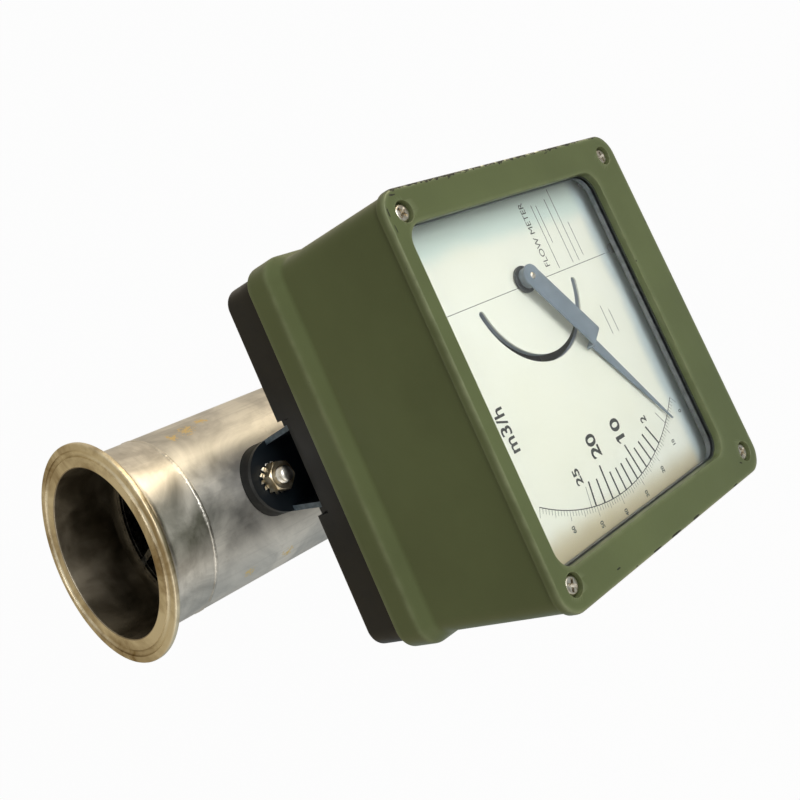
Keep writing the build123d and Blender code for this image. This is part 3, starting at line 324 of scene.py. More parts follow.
# satin black enamel or powder coat: a fine grain, dust that greys it in soft patches. Where bare is given, the sawn
# ends of the bracket's sides are left in the grey of the zinc under the coat
def blackCoat(name, colour, dust, rough=0.42, bare=None):
    made, tree, shader, place = newMaterial(name, IOR=1.5, Specular_IOR_Level=0.3)
    soft = addNode(tree, "TexNoise", Vector=place, Scale=1000 / 30.0, Detail=5.0)
    mixed = addNode(tree, "ValToRGB", stops=[(0.35, colour), (0.8, dust)], Fac=soft)
    if bare:
        axes = addNode(tree, "SeparateXYZ", out=None, Vector=place)
        away = addNode(tree, "Math", settings=subtract, i0=axes.outputs["Z"], i1=housingMiddle * mm)
        masks = []
        for source, key in ((away, "away"), (axes.outputs["X"], "side")):
            source = addNode(tree, "Math", settings=absolute, i0=source)
            masks.append(addNode(tree, "Math", settings=within, i0=source, i1=sawnEnds[key] * mm,
                                 i2=sawnEnds[key + "Reach"] * mm))
        sawn = addNode(tree, "Math", settings=multiply, i0=masks[0], i1=masks[1])
        zinc = addNode(tree, "TexNoise", Vector=place, Scale=1000 / 2.5, Detail=6.0)
        zinc = addNode(tree, "ValToRGB", stops=[(0.35, bare[0]), (0.7, bare[1])], Fac=zinc)
        mixed = addNode(tree, "Mix", out=2, settings=blend, i0=sawn, i6=mixed, i7=zinc)
    fine = addNode(tree, "TexNoise", Vector=place, Scale=1000 / 8.0, Detail=4.0)
    gloss = addNode(tree, "MapRange", i0=fine, **noiseSpan, i3=rough - 0.06, i4=rough + 0.08)
    grain = addNode(tree, "TexNoise", Vector=place, Scale=1000 / 0.8, Detail=2.0)
    feed(shader, Base_Color=mixed, Roughness=gloss, Normal=addNode(tree, "Bump", Height=grain, Distance=0.02 * mm))
    return made


# the boreShade keys paint shade in the bore; rimFrom and rimTo set where the painted rim reflection starts and is full
steelFinish = {
    "stain": "#6d5a3c", "flake": "#e6cf96", "boreShadeDark": "#847966", "boreShadePale": "#a99f8c", "boreShadeWithin": 41.9,
    "rimFrom": 141.0, "rimTo": 144.5,
}


# stainless, belt polished and then handled: cloudy patches that change tint and gloss, fine scratches across them,
# brown spots of old residue, and painted shade that darkens the bore. along stretches the scratches, a small number on
# the axis that they run along. rimReflection paints a warm gold reflection with darker clouds on the clamping rims;
# residue lists flakes of golden sealant as (x, y, z, radius)
def polishedStainless(name, light, dark, rough, along, cloud, stain, rimReflection=None, residue=()):
    s = steelFinish
    made, tree, shader, place = newMaterial(name, Metallic=1.0)
    patches = addNode(tree, "TexNoise", Vector=place, Scale=1000 / cloud, Detail=6.0, Roughness=0.62, Distortion=0.6)
    colour = addNode(tree, "ValToRGB", stops=[(0.36, dark), (0.62, light)], Fac=patches)
    grained = addNode(tree, "Mapping", Vector=place, Scale=along)
    streaks = addNode(tree, "TexNoise", Vector=grained, Scale=1000 / 2.4, Detail=6.0, Roughness=0.65)
    scratch = addNode(tree, "ValToRGB", stops=[(0.5, 0.0), (0.78, 0.5)], Fac=streaks)
    colour = addNode(tree, "Mix", out=2, settings=blend, i0=scratch, i6=colour, i7=hexColour(dark))
    # painted warm reflection on the clamping rims, with painted darker clouds
    if rimReflection:
        away = addNode(tree, "SeparateXYZ", out="Z", Vector=place)
        away = addNode(tree, "Math", settings=subtract, i0=away, i1=housingMiddle * mm)
        away = addNode(tree, "Math", settings=absolute, i0=away)
        rim = addNode(tree, "MapRange", i0=away, i1=s["rimFrom"] * mm, i2=s["rimTo"] * mm, i3=0.0, i4=1.0)
        gold = addNode(tree, "ValToRGB", stops=[(0.36, rimReflection[1]), (0.62, rimReflection[0])], Fac=patches)
        colour = addNode(tree, "Mix", out=2, settings=blend, i0=rim, i6=colour, i7=gold)
    spots = addNode(tree, "TexNoise", Vector=place, Scale=1000 / 11.0, Detail=8.0, Roughness=0.75)
    spots = addNode(tree, "ValToRGB", stops=[(0.6, 0.0), (0.7, stain)], Fac=spots)
    colour = addNode(tree, "Mix", out=2, settings=blend, i0=spots, i6=colour, i7=hexColour(s["stain"]))
    # painted shade in the bore: it lies where the distance from the tube's axis is below the bore's radius and a little
    # more
    boreShade = addNode(tree, "Mapping", Vector=place, Scale=(1, 1, 0))
    boreShade = addNode(tree, "VectorMath", out="Value", settings={"operation": "LENGTH"}, i0=boreShade)
    boreShade = addNode(tree, "Math", settings=below, i0=boreShade, i1=s["boreShadeWithin"] * mm)
    boreShadeTint = addNode(tree, "ValToRGB", stops=[(0.36, s["boreShadeDark"]), (0.62, s["boreShadePale"])], Fac=patches)
    colour = addNode(tree, "Mix", out=2, settings=blend, i0=boreShade, i6=colour, i7=boreShadeTint)
    flake = addNode(tree, "TexNoise", Vector=place, Scale=1000 / 2.2, Detail=6.0, Roughness=0.8)
    for x, y, z, radius in residue:
        far = addNode(tree, "VectorMath", out="Value", settings={"operation": "DISTANCE"}, i0=place,
                      i1=(x * mm, y * mm, z * mm))
        mark = addNode(tree, "MapRange", i0=far, i1=radius * mm, i2=0.0, i3=0.0, i4=0.22)
        mark = addNode(tree, "Math", settings=add, i0=mark, i1=flake)
        mark = addNode(tree, "Math", settings=above, i0=mark, i1=0.63)
        close = addNode(tree, "Math", settings=below, i0=far, i1=radius * mm)
        mark = addNode(tree, "Math", settings=multiply, i0=mark, i1=close)
        colour = addNode(tree, "Mix", out=2, settings=blend, i0=mark, i6=colour, i7=hexColour(s["flake"]))
    gloss = addNode(tree, "MapRange", i0=patches, **noiseSpan, i3=rough - 0.06, i4=rough + 0.14)
    gloss = addNode(tree, "Math", settings=scaled, i0=streaks, i1=0.12, i2=gloss)
    wavy = addNode(tree, "Bump", Height=patches, Distance=0.35 * mm, Strength=0.35)
    fine = addNode(tree, "TexNoise", Vector=grained, Scale=1000 / 0.9, Detail=3.0)
    fine = addNode(tree, "Bump", Height=fine, Distance=0.012 * mm, Normal=wavy)
    feed(shader, Base_Color=colour, Roughness=gloss, Normal=fine)
    return made


# turned, pressed or plated metal: tool marks too fine to show, so a soft mottling of tint and gloss stands for them
def plainMetal(name, light, dark, rough=0.28, mottle=3.0):
    made, tree, shader, place = newMaterial(name, Metallic=1.0)
    soft = addNode(tree, "TexNoise", Vector=place, Scale=1000 / mottle, Detail=5.0)
    colour = addNode(tree, "ValToRGB", stops=[(0.35, dark), (0.65, light)], Fac=soft)
    gloss = addNode(tree, "MapRange", i0=soft, **noiseSpan, i3=rough - 0.08, i4=rough + 0.1)
    fine = addNode(tree, "TexNoise", Vector=place, Scale=1000 / 0.7, Detail=3.0)
    feed(shader, Base_Color=colour, Roughness=gloss, Normal=addNode(tree, "Bump", Height=fine, Distance=0.008 * mm))
    return made


# float glass: clear, and lamps shine through it
def windowGlass():
    made, tree, shader, _ = newMaterial("floatGlass", Base_Color=hexColour("#fdfdfd"), Roughness=0.0, IOR=1.5,
                                        Transmission_Weight=1.0)
    clear = addNode(tree, "BsdfTransparent", Color=hexColour("#f8f9f9"))
    shadow = addNode(tree, "LightPath", out="Is Shadow Ray")
    both = addNode(tree, "MixShader", i0=shadow, i1=shader.outputs[0], i2=clear)
    feed(tree.get_output_node("ALL"), Surface=both)
    return made


dialFinish = {
    "cream": "#e9ede2", "warm": "#e5e8d8", "waver": 3.0,
    # painted light at the dial's edges: a painted blue-green reflection on the right, a painted gold reflection on the
    # left and painted blue-grey shade along the bottom. Each: axis, where the tint starts and is full, colour, depth
    "edges": [("X", 52, 61, "#c6dad2", 0.85), ("X", -58, -70, "#b7a97e", 0.8), ("Z", 99, 90, "#a5bac2", 0.75)],
}


# cream stove enamel on sheet, with painted light at its edges: a painted gold reflection near the window's left edge,
# painted blue-grey shade along its lower edge, and a painted pale blue-green reflection over the right third of the
# name plate
def dialEnamel():
    s = dialFinish
    made, tree, shader, place = newMaterial("creamDialEnamel", IOR=1.5)
    soft = addNode(tree, "TexNoise", Vector=place, Scale=1000 / 60.0, Detail=3.0)
    colour = addNode(tree, "ValToRGB", stops=[(0.3, s["warm"]), (0.7, s["cream"])], Fac=soft)
    axes = addNode(tree, "SeparateXYZ", out=None, Vector=place)
    waver = addNode(tree, "MapRange", i0=soft, **noiseSpan, i3=-s["waver"] * mm, i4=s["waver"] * mm)
    # each entry paints one of these edge bands, the reflections and the shade, into the dial's colour
    for axis, start, end, tint, depth in s["edges"]:
        mask = addNode(tree, "Math", settings=add, i0=axes.outputs[axis], i1=waver)
        mask = addNode(tree, "MapRange", settings={"interpolation_type": "SMOOTHSTEP"}, i0=mask, i1=start * mm,
                       i2=end * mm, i3=0.0, i4=depth)
        colour = addNode(tree, "Mix", out=2, settings=blend, i0=mask, i6=colour, i7=hexColour(tint))
    gloss = addNode(tree, "MapRange", i0=soft, **noiseSpan, i3=0.32, i4=0.42)
    peel = addNode(tree, "TexNoise", Vector=place, Scale=1000 / 1.2, Detail=2.0)
    feed(shader, Base_Color=colour, Roughness=gloss, Normal=addNode(tree, "Bump", Height=peel, Distance=0.005 * mm))
    return made


# screen ink: flat, with the thin spots that a worn screen leaves
def screenInk(name, colour, thin):
    made, tree, shader, place = newMaterial(name, IOR=1.5, Roughness=0.55)
    spots = addNode(tree, "TexNoise", Vector=place, Scale=1000 / 1.2, Detail=3.0)
    feed(shader, Base_Color=addNode(tree, "ValToRGB", stops=[(0.4, colour), (0.85, thin)], Fac=spots))
    return made


# satin grey-blue lacquer on the pointer's sheet and the dial's carrier; on the pointer and its hub the grey-blue is
# partly painted sky reflection. collar is a darker tint for the broad ring of the hub, which the edge attribute marks
def pointerLacquer(name, colour, pale, rough=0.32, collar=None):
    made, tree, shader, place = newMaterial(name, IOR=1.5, Coat_Weight=0.3, Coat_Roughness=0.25)
    soft = addNode(tree, "TexNoise", Vector=place, Scale=1000 / 9.0, Detail=4.0)
    tint = addNode(tree, "ValToRGB", stops=[(0.35, colour), (0.7, pale)], Fac=soft)
    if collar:
        ring = addNode(tree, "Attribute", out="Fac", settings={"attribute_name": "edge"})
        tint = addNode(tree, "Mix", out=2, settings=blend, i0=ring, i6=tint, i7=hexColour(collar))
    gloss = addNode(tree, "MapRange", i0=soft, **noiseSpan, i3=rough - 0.05, i4=rough + 0.08)
    feed(shader, Base_Color=tint, Roughness=gloss)
    return made


# moulded rubber: matt, with a fine mould grain and a faint bloom
def mouldedRubber(name, colour, bloom):
    made, tree, shader, place = newMaterial(name, IOR=1.5, Specular_IOR_Level=0.2)
    soft = addNode(tree, "TexNoise", Vector=place, Scale=1000 / 6.0, Detail=4.0)
    colour = addNode(tree, "ValToRGB", stops=[(0.3, colour), (0.8, bloom)], Fac=soft)
    gloss = addNode(tree, "MapRange", i0=soft, **noiseSpan, i3=0.5, i4=0.7)
    grain = addNode(tree, "TexNoise", Vector=place, Scale=1000 / 0.5, Detail=2.0)
    feed(shader, Base_Color=colour, Roughness=gloss, Normal=addNode(tree, "Bump", Height=grain, Distance=0.02 * mm))
    return made


olive = sprayedEnamel()
black = blackCoat("satinBlackEnamel", "#15171a", "#1d1e1f")
bracketBlack = blackCoat("bluedBlackPowderCoat", "#0e1419", "#151d24", 0.4, ("#4f5d67", "#72828e"))
tubeSteel = polishedStainless("beltPolishedStainless", "#e6e3dc", "#b4b2ad", 0.37, (1, 1, 0.06), 38.0, 0.2, residue=[
    (37.2, -22.7, 247.7, 6.5), (36.2, -24.3, 257.7, 4.5), (38.8, -19.9, 236.5, 5.0), (-36.1, -24.4, 246.9, 5.0),
    (-36.6, -23.8, 222.0, 5.0)])
ferruleSteel = polishedStainless("turnedStainless", "#e4e0d8", "#b2aea6", 0.3, (0.15, 0.15, 1), 26.0, 0.15,
                                 rimReflection=("#e6dcc2", "#8f7a54"))
innerSteel = plainMetal("turnedStainlessInside", "#8f8d88", "#5c5a56", 0.3)
nutBrass = plainMetal("goldPassivatedZinc", "#e6ddc9", "#c0ab82", 0.34, 5.0)
zincSteel = plainMetal("brightZincPlate", "#ebe8e0", "#c2beb4", 0.32)
screwSteel = plainMetal("platedScrewSteel", "#e6e1d5", "#b8b0a2", 0.3, 2.0)
frameSteel = plainMetal("plainSheetSteel", "#85878e", "#6a6d74", 0.45)
aluminium = plainMetal("millAluminium", "#b9bbbd", "#9a9c9e", 0.35)
brass = plainMetal("turnedBrass", "#c9a45c", "#8f6f35")
magnetAlloy = plainMetal("castMagnetAlloy", "#55555a", "#3a3a3d", 0.45)
glass = windowGlass()
cream = dialEnamel()
ink = screenInk("blackScreenInk", "#20231f", "#3a3d38")
paleInk = screenInk("greyScreenInk", "#3f443e", "#60665e")
# the pointer's and hub's grey-blue is partly a painted sky reflection
lacquer = pointerLacquer("greyBlueLacquer", "#64727d", "#768490")
hubLacquer = pointerLacquer("hubLacquer", "#5c6770", "#74808a", collar="#20262a")
# painted light: the carrier is made pale so that the slot's deep, unlit walls read light
carrierLacquerPaintedLight = pointerLacquer("carrierLacquerPaintedLight", "#8c99a4", "#9eabb5", 0.5)
rubber = mouldedRubber("mouldedRubber", "#0e1011", "#181a1b")
# painted light: the window seal is made grey so that its shaded inner edge reads light
sealRubberPaintedLight = mouldedRubber("greySealRubberPaintedLight", "#3a403c", "#474d48")
print("materials made:", len(bpy.data.materials))

hoodSize = {
    "rear": -93.7, "front": -184.6, "flangeDepth": 13.8, "slopeDepth": 7.3, "lipDepth": 4.5,
    "flange": (89.3, 86.5, 11.0), "body": (85.8, 82.8, 9.0), "lip": (86.8, 83.8, 10.0), "inside": (81.8, 78.8, 5.0),
    "window": (70.9, 67.9, 9.0, 8.5), "frontWall": 3.6,
    "screwX": 76.4, "screwZ": 73.3, "wellRadius": 4.65, "wellRim": 4.8, "wellDepth": 5.4, "post": 6.1,
}
screwSpots = [(x, housingMiddle + z) for x in (-hoodSize["screwX"], hoodSize["screwX"])
              for z in (-hoodSize["screwZ"], hoodSize["screwZ"])]


# one closed shell: the flange, its slope, the body, the rolled lip, the front frame, the window's edge and the inside.
# Columns that carry the cover screws are added in the corners and a well is cut into each
def hoodShell():
    s = hoodSize
    rear, front = s["rear"], s["front"]
    slopeStart = rear - s["flangeDepth"]
    bodyStart = slopeStart - s["slopeDepth"]
    insideFront = front + s["frontWall"]
    corners = [
        (*s["flange"], 0, rear), (*s["flange"], 0, slopeStart), (*s["body"], 0, bodyStart),
        (*s["body"], 0, front + s["lipDepth"]), (*s["lip"], 0, front + s["lipDepth"]), (*s["lip"], 0, front),
        (*s["window"], front), (*s["window"], insideFront), (*s["inside"], 0, insideFront), (*s["inside"], 0, rear),
    ]
    cuts = [0.7, 1.2, 1.6, 0.5, 0.5, 2.9, 0.5, 0.3, 0.8, 0.5]
    # how much each corner wears: drawn paler, partly as a painted highlight, and chipped
    worn = [0.5, 0.55, 0.0, 0.0, 0.3, 1.0, 0.5, 0.0, 0.0, 0.0]
    rows, near = roundedRows(corners, cuts, worn, closed=True, steps=7)
    grid = boxGrid(rows)
    shell = gridPiece("hoodShell", [(grid, True, True)], olive, values=[np.repeat(near[:, None], grid.shape[1], 1)])
    r, rim, deep, wide = s["wellRadius"], s["wellRim"], s["wellDepth"], s["post"]
    well = np.array([(0.0, deep), (r, deep), (r, rim - r), (rim, 0.0), (rim, -2.0), (0.0, -2.0)]) + (0, front)
    post = np.array([(0.0, rear - 0.2), (wide, rear - 0.2), (wide, front + 2.0), (0.0, front + 2.0)])
    wells = gridPiece("wellCutter", facingParts(well, screwSpots, 64), olive, body=None)
    posts = gridPiece("postBlank", facingParts(post, screwSpots, 48), olive, body=None)
    carve(shell, [("UNION", posts), ("DIFFERENCE", wells)])
    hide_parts("hood")
    return shell


hood = hoodShell()
print("hood made:", len(hood.data.polygons), "faces")

baseSize = {
    "rear": -72.0, "front": -92.5, "outside": (86.5, 84.0, 9.0), "inside": (82.5, 80.0, 5.0), "floor": 4.0,
    "relief": (22.7, 79.0, 8.5), "wall": 4.0, "channelScrew": (27.0, 60.0, 2.6), "post": 6.1,
}


# the cast tray: from the middle of the rear face out, round the rear edge, along the side to the front rim and back
# down the inside, with screw columns and, at each end, a relief in the rear edge for the bracket's sides
def baseTray():
    s = baseSize
    rear, front = s["rear"], s["front"]
    insideRear = rear - s["floor"]
    corners = [
        (0.02, 0.02, 0.01, 0, rear), (*s["outside"], 0, rear), (*s["outside"], 0, front), (*s["inside"], 0, front),
        (*s["inside"], 0, insideRear), (0.02, 0.02, 0.01, 0, insideRear),
    ]
    rows, _ = roundedRows(corners, [0, 1.7, 0.4, 0.4, 0.8, 0], steps=7, spacing=9)
    tray = gridPiece("baseTray", [(boxGrid(rows), False, True)], black, merge=0.06)
    post = np.array([(0.0, insideRear + 1), (s["post"], insideRear + 1), (s["post"], front), (0.0, front)])
    posts = gridPiece("basePosts", facingParts(post, screwSpots, 48), black, body=None)
    halfWide, low, depth = s["relief"]
    high = s["outside"][1]
    # two boxes at each end: the rib that backs the relief, and the relief itself
    ribs, cuts = [], []
    for end in (-1, 1):
        for made, w, a, b, y0, y1 in (
                (ribs, halfWide + s["wall"], low - s["wall"], high - 2, insideRear + 1, rear - depth - s["wall"]),
                (cuts, halfWide, low, high + 3, rear + 2, rear - depth)):
            spread = np.array([(0.01, y0), (1, y0), (1, y1), (0.01, y1)])
            middle, half = end * (a + b) / 2, (b - a) / 2
            box = np.array([(w * k, half * k, 0.8 * k if made is cuts else 0.2 * k, middle, y) for k, y in spread])
            made.append((boxGrid(box, 6, 3), False, True))
    rib = gridPiece("reliefRibs", ribs, black, body=None, merge=0.2)
    cut = gridPiece("reliefCutter", cuts, black, body=None, merge=0.2)
    x, z, r = s["channelScrew"]
    hole = np.array([(0.0, rear + 2), (r, rear + 2), (r, insideRear - 2), (0.0, insideRear - 2)])
    spots = [(a * x, housingMiddle + b * z) for a in (-1, 1) for b in (-1, 1)]
    holes = gridPiece("holeCutter", facingParts(hole, spots, 32), black, body=None)
    carve(tray, [("UNION", posts), ("UNION", rib), ("DIFFERENCE", cut), ("DIFFERENCE", holes)])
    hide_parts("indicator_base")
    return tray


base = baseTray()
print("base made:", len(base.data.polygons), "faces")

tubeSize = {
    "bore": 41.4, "outer": 43.6, "ferrule": 31.7, "top": 300.0, "rim": 53.0, "rimThick": 2.85, "groove": (48.2, 1.6),
    "slopeFoot": (45.9, 5.4), "neckStart": 8.4, "bead": (1.7, 0.24), "snap": (36.0, 1.6, 0.9), "columns": 720,
}


# a clamp ferrule: its closed profile in (r, depth from the face) runs up the bore, over the face with the half-round
# seal groove, round the rim, down the clamping slope and along the neck. The weld bead closes it against the tube:
# its height is a half-round times a ripple, 1 + 0.2 sin(150 a) + 0.14 sin(47 a), and its middle wavers with the angle
def ferrule(name, cadNode, upper):
    s = tubeSize
    groove, half = s["groove"]
    turn = np.radians(np.linspace(180, 0, 13))
    seal = np.stack([groove + half * np.cos(turn), half * np.sin(turn)], 1)
    width, height = s["bead"]
    neckEnd = s["ferrule"] - width
    first, _ = roundedRows([(s["bore"], s["ferrule"]), (s["bore"], 0.0), (groove - half, 0.0)], [0, 0.5, 0], steps=5,
                           spacing=6)
    outline = [(groove + half, 0.0), (s["rim"], 0.0), (s["rim"], s["rimThick"]), s["slopeFoot"],
               (s["outer"], s["neckStart"]), (s["outer"], neckEnd)]
    rest, _ = roundedRows(outline, [0, 1.1, 1.1, 1.6, 1.8, 0], steps=8, spacing=6)
    profile = turnedGrid(np.concatenate([first[:-1], seal, rest[1:]]), s["columns"])
    a = np.linspace(0, 2 * np.pi, s["columns"], endpoint=False)
    across = np.linspace(-1, 1, 15)[:, None]
    ripple = 1 + 0.2 * np.sin(a * 150) + 0.14 * np.sin(a * 47 + 1.3) + 0.1 * np.sin(a * 83)
    waver = 0.2 * np.sin(a * 11 + 0.6) + 0.14 * np.sin(a * 29)
    bulge = np.sqrt(np.clip(1 - across ** 2, 0, 1))
    bead = np.empty((15, s["columns"], 3))
    r = s["outer"] + height * bulge * ripple
    bead[..., 0], bead[..., 1] = r * np.cos(a), r * np.sin(a)
    bead[..., 2] = neckEnd + (across + 1) * width / 2 + waver * bulge
    grid = np.concatenate([profile, bead[1:]])
    if upper:
        grid[..., 2] = s["top"] - grid[..., 2]
    made = gridPiece(name, [(grid, True, True)], ferruleSteel)
    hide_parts(cadNode)
ferrule("upperFerrule", "upper_ferrule", True)
ferrule("lowerFerrule", "lower_ferrule", False)


# the plain tube wall between the ferrules, with the two snap-ring grooves inside, as one closed profile
def tubeWall():
    s = tubeSize
    low, high = s["ferrule"], s["top"] - s["ferrule"]
    z, tall, deep = s["snap"]
    outline = [(s["outer"], low), (s["outer"], high), (s["bore"], high)]
    for a, b in ((s["top"] - z, s["top"] - z - tall), (z + tall, z)):
        outline += [(s["bore"], a), (s["bore"] + deep, a), (s["bore"] + deep, b), (s["bore"], b)]
    outline.append((s["bore"], low))
    rows, _ = roundedRows(outline, [0] * len(outline), closed=True, spacing=6)
    made = gridPiece("tubeWall", [(turnedGrid(rows), True, True)], tubeSteel)
    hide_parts("measuring_tube")
tubeWall()
print("tube and ferrules made")

fixing = {
    "height": 82.9, "webFront": -52.0, "washer": 1.2, "flats": 13.0, "nut": 6.5, "turn": 15.0, "stud": 4.0,
    "tip": -63.9, "pitch": 1.25, "teeth": 14,
}


# a hexagon nut: at each height its radius is the smaller of the hexagon, flats / 2 / cos(a), and a chamfer cone that
# opens from each face at 60 degrees, which gives the curved chamfer lines
def studNut(z):
    s = fixing
    seat = s["webFront"] - s["washer"]
    columns = 240
    a = np.linspace(0, 2 * np.pi, columns, endpoint=False)
    phase = (np.degrees(a) - s["turn"]) % 60 - 30
    hexagon = s["flats"] / 2 / np.cos(np.radians(phase))
    tall = s["nut"]
    up = np.concatenate([np.linspace(0, 1.2, 9), np.linspace(1.8, tall - 1.8, 5), np.linspace(tall - 1.2, tall, 9)])
    cone = s["flats"] / 2 - 0.15 + np.minimum(up, tall - up) * 1.73
    r = np.minimum(hexagon, cone[:, None])
    hole = s["stud"] + 0.02
    rows = np.array([np.full(columns, hole), np.full(columns, hole + 0.5), *r, np.full(columns, hole + 0.55),
                     np.full(columns, hole)])
    y = np.repeat((seat - np.concatenate([[0.5, 0.0], up, [tall, tall - 0.55]]))[:, None], columns, 1)
    return np.stack([rows * np.cos(a), y, z + rows * np.sin(a)], -1)


# a welded stud: r = 4 less a triangle wave of the thread, which turns with (y / pitch + a / 2 pi), then a dome
def studRod(z):
    s = fixing
    columns = 96
    a = np.linspace(0, 2 * np.pi, columns, endpoint=False)
    y = np.arange(-46.0, s["tip"] + 1.6, -0.125)
    wave = np.abs(((y[:, None] / s["pitch"] + a / (2 * np.pi)) % 1) * 2 - 1)
    fade = np.clip((y[:, None] - s["tip"] - 1.5) / 0.6, 0, 1)
    r = s["stud"] - 0.5 * fade * wave - 0.35 * (1 - fade)
    first = np.full((1, columns), s["stud"] - 0.1)
    weld = -np.sqrt(43.62 ** 2 - (first * np.cos(a)) ** 2)
    turn = np.radians(np.linspace(12, 90, 9))[:, None]
    dome = np.repeat((s["stud"] - 0.35) * np.cos(turn), columns, 1)
    rows = np.concatenate([first * 0, first, r, dome])
    top = s["tip"] + 1.5 - 1.5 * np.sin(turn)
    ys = np.concatenate([weld, weld, np.repeat(y[:, None], columns, 1), np.repeat(top, columns, 1)])
    return np.stack([rows * np.cos(a), ys, z + rows * np.sin(a)], -1)


# a lock washer with 14 outer teeth: each tooth is a blade whose outer edge leans up on one side and down on the other
def toothedWasher(z):
    s = fixing
    columns = 336
    a = np.linspace(0, 2 * np.pi, columns, endpoint=False)
    phase = (a / (2 * np.pi) * s["teeth"]) % 1
    tooth = np.clip(np.minimum(phase, 0.62 - phase) / 0.07, 0, 1)
    tip = 6.05 + 1.9 * tooth * (0.75 + 0.25 * phase / 0.62)
    lean = 0.42 * (phase / 0.62 * 2 - 1) * tooth
    middle = s["webFront"] - s["washer"] / 2
    flat = np.zeros(columns)
    rows = [(4.1 + flat, 0.28 + flat), (6.0 + flat, 0.28 + flat), (tip, 0.14 + lean), (tip, -0.14 + lean),
            (6.0 + flat, -0.28 + flat), (4.1 + flat, -0.28 + flat)]
    return np.stack([np.stack([r * np.cos(a), middle + up, z + r * np.sin(a)], -1) for r, up in rows])


ends = [housingMiddle + e * fixing["height"] for e in (-1, 1)]
for name, cadNode, grids, material, slot in (
    ("studNuts", "stud_nuts", [(studNut(z), True, True) for z in ends], nutBrass, "zinc_steel"),
    ("threadedStuds", "weld_studs", [(studRod(z), False, True) for z in ends], zincSteel, "zinc_steel"),
    ("toothedWashers", "lock_washers", [(toothedWasher(z), True, True) for z in ends], zincSteel, "zinc_steel")):
    made = gridPiece(name, grids, material, sharp=28)
    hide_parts(cadNode)
print("bracket fixings made")

coverScrew = {
    "head": 4.25, "tall": 4.3, "seat": -179.2, "shank": 2.0, "end": -80.5,
    "cross": (5.2, 1.3, 2.0), "turns": (23, 64, 8, 41),  # length, width and depth of the recess; how each screw stands
}


# pan-head screws: the head's profile rises straight, then over a quarter ellipse to a flat crown; the recess is a
# cross whose arms narrow with depth, cut out of it
def coverScrews():
    s = coverScrew
    r, tall, seat = s["head"], s["tall"], s["seat"]
    turn = np.radians(np.linspace(0, 82, 9))
    crown = np.stack([r - 1.5 + 1.5 * np.cos(turn), seat - tall * 0.42 - tall * 0.58 * np.sin(turn)], 1)
    shank, end = s["shank"], s["end"]
    below = [(0.0, end), (shank - 0.5, end), (shank, end - 0.6), (shank, seat), (r - 0.1, seat), (r, seat - 0.12)]
    profile = np.concatenate([below, crown, [(1.0, seat - tall), (0.0, seat - tall)]])
    made = gridPiece("coverScrews", facingParts(profile, screwSpots, 64), screwSteel)
    length, width, depth = s["cross"]
    levels = ((-1, length, width), (0.2, length, width), (depth, length * 0.45, width * 0.5))
    arms = []
    for (x, z), stands in zip(screwSpots, s["turns"]):
        for side in (0, 90):
            a = math.radians(side + stands)
            u, v = np.array((math.cos(a), math.sin(a))), np.array((-math.sin(a), math.cos(a)))
            rows = []
            for down, long, wide in levels:
                ring = [(p * u * long + q * v * wide) / 2 for p, q in ((1, 1), (-1, 1), (-1, -1), (1, -1))]
                rows.append([(x + c[0], seat - tall + down, z + c[1]) for c in ring])
            rows = [[(x, rows[0][0][1], z)] * 4, *rows, [(x, rows[-1][0][1], z)] * 4]
            arms.append((np.array(rows, float), False, True))
    first = gridPiece("crossArms", arms[0::2], screwSteel, body=None)
    second = gridPiece("crossBars", arms[1::2], screwSteel, body=None)
    carve(made, [("DIFFERENCE", first), ("DIFFERENCE", second)])
    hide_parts("cover_screws")


coverScrews()
print("cover screws made")

dialFace = -169.6
pivot = (35.9, housingMiddle + 6.9)
pointerSize = {
    "rest": 213.9, "head": 5.3, "arm": 43.0, "armWide": 5.1, "rise": 5.3, "drop": 1.2, "sheet": 0.8, "shoulder": 45.0,
    "tipWide": 2.6, "tipEnd": 0.25, "length": 101.3, "collar": (6.2, 1.3), "hub": 4.6, "shaft": 1.5,
}


